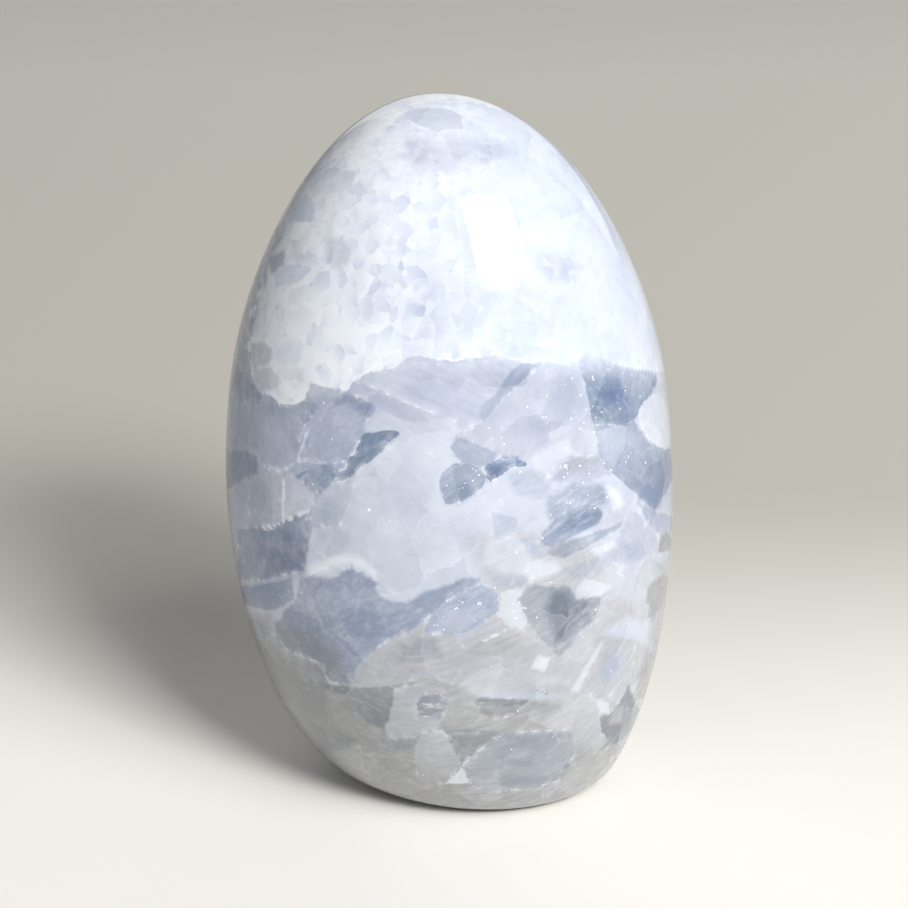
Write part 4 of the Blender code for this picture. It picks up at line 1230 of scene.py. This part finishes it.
class CalciteNodes:
    """The nodes that turn the painter's attributes and the place in millimetres into the stone's colour."""

    def __init__(self, finish: PolishedCalcite, tree: bpy.types.NodeTree) -> None:
        """Starts the nodes.

        Args:
            finish: The finish's sizes and tints.
            tree: The material's node tree.
        """
        self.finish = finish
        self.add = partial(add_node, tree)
        where = self.add("ShaderNodeTexCoord", out="Object")
        self.place = self.add(VECTOR, where, named={"Scale": 1.0 / MM}, operation="SCALE")

    def body(self) -> Socket:
        """Lays the whole pattern, and returns its colour."""
        add, finish = self.add, self.finish
        edge = self.chipped_border()
        melt = add(MATH, add(STORED, attribute_name="melt", out="Fac"), finish.least_melt_mm, operation="ADD")
        least = add(MATH, melt, -1.0, operation="MULTIPLY")
        side = add(RANGE, edge, least, melt, interpolation_type="SMOOTHSTEP")
        tint_in = add(STORED, attribute_name="tint_in")
        tint_out = add(STORED, attribute_name="tint_out")
        body = add(MIX, side, named={6: tint_out, 7: tint_in}, **COLOUR)
        sugar = add(MIX, side, None, tint_out.node.outputs["Alpha"], tint_in.node.outputs["Alpha"])
        body = self.streaked(body)
        body = self.haunted(body, sugar)
        body = self.sugared(body, sugar)
        body = self.veiled(body, edge)
        return self.glinted(body)

    def wave(self, noise: Noise, spot: Socket) -> Socket:
        """Makes a noise that runs about 0."""
        made = self.add(NOISE, spot, None, noise.per_mm, noise.detail, noise.rough)
        return self.add(MATH, made, 0.5, operation="SUBTRACT")

    def patches(self, patches: Patches, spot: Socket) -> Socket:
        """Makes smooth patches, 0 between them and the most in their middles."""
        noise = patches.noise
        made = self.add(NOISE, spot, None, noise.per_mm, noise.detail, noise.rough)
        return self.add(RANGE, made, patches.low, patches.high, 0.0, patches.most,
                        interpolation_type="SMOOTHSTEP")

    def bent(self, noise: Noise, most_mm: float) -> Socket:
        """Moves each place by a noise, at most so far, so that what is drawn there turns ragged."""
        made = self.add(NOISE, self.place, None, noise.per_mm, noise.detail, noise.rough, out="Color")
        return self.add(VECTOR, made, (most_mm, most_mm, most_mm), self.place, operation="MULTIPLY_ADD")

    def frosted(self, body: Socket, amount: Socket) -> Socket:
        """Mixes frost's white into the tint."""
        white = linear(self.finish.veil_white)
        return self.add(MIX, amount, named={6: body, 7: white}, **COLOUR)

    def shaded(self, body: Socket, tone: Socket, shading: Shading) -> Socket:
        """Lightens the tint towards frost where the tone is above 0, and darkens it where it is below."""
        lighter = self.add(MATH, tone, shading.white_by, operation="MULTIPLY", use_clamp=True)
        darker = self.add(MATH, tone, -shading.dark_by, operation="MULTIPLY", use_clamp=True)
        named = {6: self.frosted(body, lighter), 7: linear(shading.dark)}
        return self.add(MIX, darker, named=named, blend_type="MULTIPLY", **COLOUR)

    def faceted(self, facets: Facets, spot: Socket) -> tuple[Socket, Socket]:
        """Draws interlocked grains, each with painted light running across it, as if its facet leaned its own
        way to the light.

        Args:
            facets: The grains.
            spot: The place in millimetres.

        Returns:
            How light each point is, about 0, and its distance to the grain's border.
        """
        add = self.add
        cells = add(CELLS, spot, None, 1.0 / facets.size_mm, out="Color")
        rims = add(CELLS, spot, None, 1.0 / facets.size_mm, feature="DISTANCE_TO_EDGE")
        lean = add(VECTOR, cells, (0.5, 0.5, 0.5), operation="SUBTRACT")
        off = add(VECTOR, spot, cells.node.outputs["Position"], operation="SUBTRACT")
        facet = add(VECTOR, off, lean, out="Value", operation="DOT_PRODUCT")
        chance = add(MATH, add("ShaderNodeSeparateColor", cells), 0.5, operation="SUBTRACT")
        # Painted light: each grain grows lighter towards one side, as if its facet leaned to the light.
        slope = add(MATH, facet, facets.painted_facet_light / facets.size_mm, operation="MULTIPLY")
        return add(MATH, chance, facets.by_chance, slope, operation="MULTIPLY_ADD"), rims

    def rim_lines(self, rims: Socket, width: float, strength: float, seen: Socket) -> Socket:
        """Draws the grains' borders where they are seen.

        Args:
            rims: The distance to the grain's border.
            width: How wide the line is, as a share of the grain's size.
            strength: How strong it is on the border.
            seen: Where it is seen.

        Returns:
            How strong the line is at each point.
        """
        line = self.add(RANGE, rims, 0.0, width, strength, 0.0, interpolation_type="SMOOTHSTEP")
        return self.add(MATH, line, seen, operation="MULTIPLY")

    def chipped_border(self) -> Socket:
        """Makes the crisp borders ragged and chipped, finer than the mesh is.

        Returns:
            The signed distance to the nearest crisp border, in millimetres.
        """
        add, finish = self.add, self.finish
        fine = self.wave(finish.wander, self.place)
        cells = add(CELLS, self.place, None, 1.0 / finish.chip_mm, out="Color")
        chip = add(MATH, add("ShaderNodeSeparateColor", cells), 0.5, operation="SUBTRACT")
        chip = add(MATH, chip, finish.wander_by, operation="MULTIPLY")
        wander = add(MATH, fine, finish.wander_by, chip, operation="MULTIPLY_ADD")
        ragged = add(STORED, attribute_name="ragged", out="Fac")
        edge = add(STORED, attribute_name="edge_mm", out="Fac")
        return add(MATH, wander, ragged, edge, operation="MULTIPLY_ADD")

    def streaked(self, body: Socket) -> Socket:
        """Lays clouds, mottling and cleavage streaks, drawn out along each crystal's own direction."""
        add, finish = self.add, self.finish
        way = add(STORED, attribute_name="cleavage", out="Vector")
        unit = add(VECTOR, way, operation="NORMALIZE")
        amount = add(VECTOR, way, out="Value", operation="LENGTH")
        along = add(VECTOR, self.place, unit, out="Value", operation="DOT_PRODUCT")
        back = add(MATH, along, -finish.drawn_out, operation="MULTIPLY")
        drawn = add(VECTOR, unit, named={"Scale": back}, operation="SCALE")
        across = add(VECTOR, self.place, drawn, operation="ADD")
        streak = add(MATH, self.wave(finish.streaks, across), amount, operation="MULTIPLY")
        tone = add(MATH, streak, finish.streak_depth, operation="MULTIPLY")
        for noise, depth in ((finish.mottle, finish.mottle_depth), (finish.clouds, finish.cloud_depth)):
            tone = add(MATH, self.wave(noise, self.place), depth, tone, operation="MULTIPLY_ADD")
        body = self.shaded(body, tone, finish.streak_shading)
        plenty = add(MATH, amount, finish.hatched_from, operation="SUBTRACT")
        hatch = self.patches(finish.hatching, across)
        return self.frosted(body, add(MATH, hatch, plenty, operation="MULTIPLY", use_clamp=True))

    def haunted(self, body: Socket, sugar: Socket) -> Socket:
        """Lays ghosts, the faint facets and outlines of deeper grains, which sugar hides; painted light and
        shade run across each facet.
        """
        add, finish = self.add, self.finish
        spot = self.bent(finish.ghost_bend, finish.ghost_bend_mm)
        shade, rims = self.faceted(finish.ghosts, spot)
        share = add(MATH, sugar, -finish.ghost_strength, finish.ghost_strength, operation="MULTIPLY_ADD")
        shade = add(MATH, shade, share, operation="MULTIPLY")
        body = self.shaded(body, shade, finish.ghost_shading)
        seen = self.patches(finish.ghost_lines, self.place)
        return self.frosted(body, self.rim_lines(rims, *finish.ghost_line, seen))

    def sugared(self, body: Socket, sugar: Socket) -> Socket:
        """Breaks the tint into sugary grains, whose cleaved faces catch the light each in its own way."""
        add, finish = self.add, self.finish
        spot = self.bent(finish.grain_bend, finish.grain_bend_mm)
        spot = add(VECTOR, spot, finish.grain_stretch, operation="MULTIPLY")
        shade, rims = self.faceted(finish.grains, spot)
        grained = self.shaded(body, shade, finish.grain_shading)
        seen = self.patches(finish.grain_rims, self.place)
        grained = self.frosted(grained, self.rim_lines(rims, *finish.grain_rim, seen))
        crumbs = add("ShaderNodeSeparateColor", add(CELLS, spot, None, 1.0 / finish.crumb_mm, out="Color"))
        crumb = add(MATH, crumbs, finish.crumbs_above, operation="GREATER_THAN")
        heaped = self.patches(finish.crumb_heaps, self.place)
        grained = self.frosted(grained, add(MATH, crumb, heaped, operation="MULTIPLY"))
        return add(MIX, sugar, named={6: body, 7: grained}, **COLOUR)

    def veiled(self, body: Socket, edge: Socket) -> Socket:
        """Lays a pale veil beside each border, and a frosted line along parts of it."""
        add, finish = self.add, self.finish
        frost = add(STORED, attribute_name="frost", out="Fac")
        frost = add(MATH, frost, self.patches(finish.veil_breaks, self.place), operation="MULTIPLY")
        apart = add(MATH, edge, operation="ABSOLUTE")
        for width, strength in finish.veils:
            veil = add(RANGE, apart, 0.0, width, strength, 0.0, interpolation_type="SMOOTHSTEP")
            body = self.frosted(body, add(MATH, veil, frost, operation="MULTIPLY", use_clamp=True))
        return body

    def glinted(self, body: Socket) -> Socket:
        """Scatters painted glints, white flecks where tiny cracks catch the light: swarms in some crystals,
        and a few everywhere.
        """
        add, finish = self.add, self.finish
        amount = add(STORED, attribute_name="flecks", out="Fac")
        amount = add(MATH, amount, self.patches(finish.swarms, self.place), operation="MULTIPLY")
        amount = add(MATH, amount, finish.swarm_density, finish.stray_flecks, operation="MULTIPLY_ADD")
        for fleck in finish.flecks:
            spot = self.bent(Noise(1.0 / fleck.size_mm, 3.0, 0.6), fleck.size_mm * finish.fleck_bend)
            cells = add(CELLS, spot, None, 1.0 / fleck.size_mm)
            chance = add("ShaderNodeSeparateColor", cells.node.outputs["Color"])
            least = add(MATH, amount, -fleck.share, 1.0, operation="MULTIPLY_ADD")
            is_there = add(MATH, chance, least, operation="GREATER_THAN")
            reach = add(MATH, chance.node.outputs[1], finish.fleck_reach, operation="MULTIPLY")
            is_near = add(MATH, cells, reach, operation="LESS_THAN")
            seen = add(MATH, is_there, is_near, operation="MULTIPLY")
            seen = add(MATH, seen, finish.fleck_strength, operation="MULTIPLY")
            body = add(MIX, seen, named={6: body, 7: linear(finish.glint_white)}, **COLOUR)
        return body


@dataclass(frozen=True)
class TableCard:
    """Matte display card, white in front and a warm grey behind, which is painted shade where the lamps'
    light falls off.
    """

    name: str = "matte_card"
    near: str = "#FBF8F1"
    # Painted light and shade: the grey middle stands for the lamps' light falling off behind the stone, and
    # the paler far for more light again far off.
    middle: str = "#CDC9BF"
    far: str = "#E6E2D8"
    near_end: float = 0.0 * MM
    middle_at: float = 142.0 * MM
    far_start: float = 600.0 * MM
    roughness: float = 0.9

    def build(self) -> bpy.types.Material:
        """Builds the material, whose gradient follows Object coordinates."""
        material = bpy.data.materials.new(self.name)
        material.use_nodes = True
        shader = material.node_tree.nodes["Principled BSDF"]
        add = partial(add_node, material.node_tree)
        back = add("ShaderNodeSeparateXYZ", add("ShaderNodeTexCoord", out="Object"), out=1)
        # Painted shade: white in front, grey behind the stone, and paler again far off.
        first = add(RANGE, back, self.near_end, self.middle_at, interpolation_type="SMOOTHSTEP")
        second = add(RANGE, back, self.middle_at, self.far_start)
        tint = add(MIX, first, named={6: linear(self.near), 7: linear(self.middle)}, **COLOUR)
        tint = add(MIX, second, named={6: tint, 7: linear(self.far)}, **COLOUR)
        material.node_tree.links.new(tint, shader.inputs["Base Color"])
        shader.inputs["Roughness"].default_value = self.roughness
        return material


@dataclass
class PhotoTable:
    """The pale floor and the soft light of the display."""

    floor_reach: float = 4.0
    card: TableCard = TableCard()
    lights: tuple[SoftLight, ...] = (
        SoftLight("window", (0.71, -0.922, 1.16), (0.0, 0.0, 0.06), 0.84, 0.78, 14.2, "#FFFFFF", -8.0),
        SoftLight("sun", (0.727, -1.163, 0.985), (0.0, 0.0, 0.06), 0.5, 0.34, 17.5, "#FFFFFF"),
        SoftLight("side_fill", (-1.2, -0.9, 1.6), (0.0, 0.0, 0.05), 2.4, 1.8, 4.2, "#F4F8FF"),
        SoftLight("back_fill", (0.5, 2.2, 1.3), (0.0, 0.0, 0.05), 3.4, 2.4, 17.0, "#FFFFFF"),
    )
    surround: str = "#5A5A59"

    def build(self) -> None:
        """Adds the floor, the lights and the surround."""
        mesh = bpy.data.meshes.new("floor")
        reach = self.floor_reach
        corners = [(-reach, -reach, 0.0), (reach, -reach, 0.0), (reach, reach, 0.0), (-reach, reach, 0.0)]
        mesh.from_pydata(corners, [], [(0, 1, 2, 3)])
        mesh.materials.append(self.card.build())
        floor = bpy.data.objects.new("floor", mesh)
        bpy.context.scene.collection.objects.link(floor)
        for light in self.lights:
            light.add()
        world = bpy.data.worlds.new("surround")
        world.use_nodes = True
        world.node_tree.nodes["Background"].inputs["Color"].default_value = linear(self.surround)
        bpy.context.scene.world = world
        bpy.context.scene.view_settings.view_transform = "Standard"


def main() -> None:
    """Builds the stone and its stage, and reports each piece."""
    logging.basicConfig(level=logging.INFO)
    view = Viewpoint()
    stone = FreeformBody().build("calcite_stone", PolishedCalcite().build())
    layers = [Ground(), *DISPLAY_PLATES, *BackGrains().grains(view)]
    CrystalPainter(stone, layers, view).paint()
    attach(stone, "root")
    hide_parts(STONE_NODE)
    LOG.info("stone: %d faces, %d crystals", len(stone.data.polygons), len(layers))
    PhotoTable().build()
    view.add_camera()


if __name__ == "__main__":
    main()
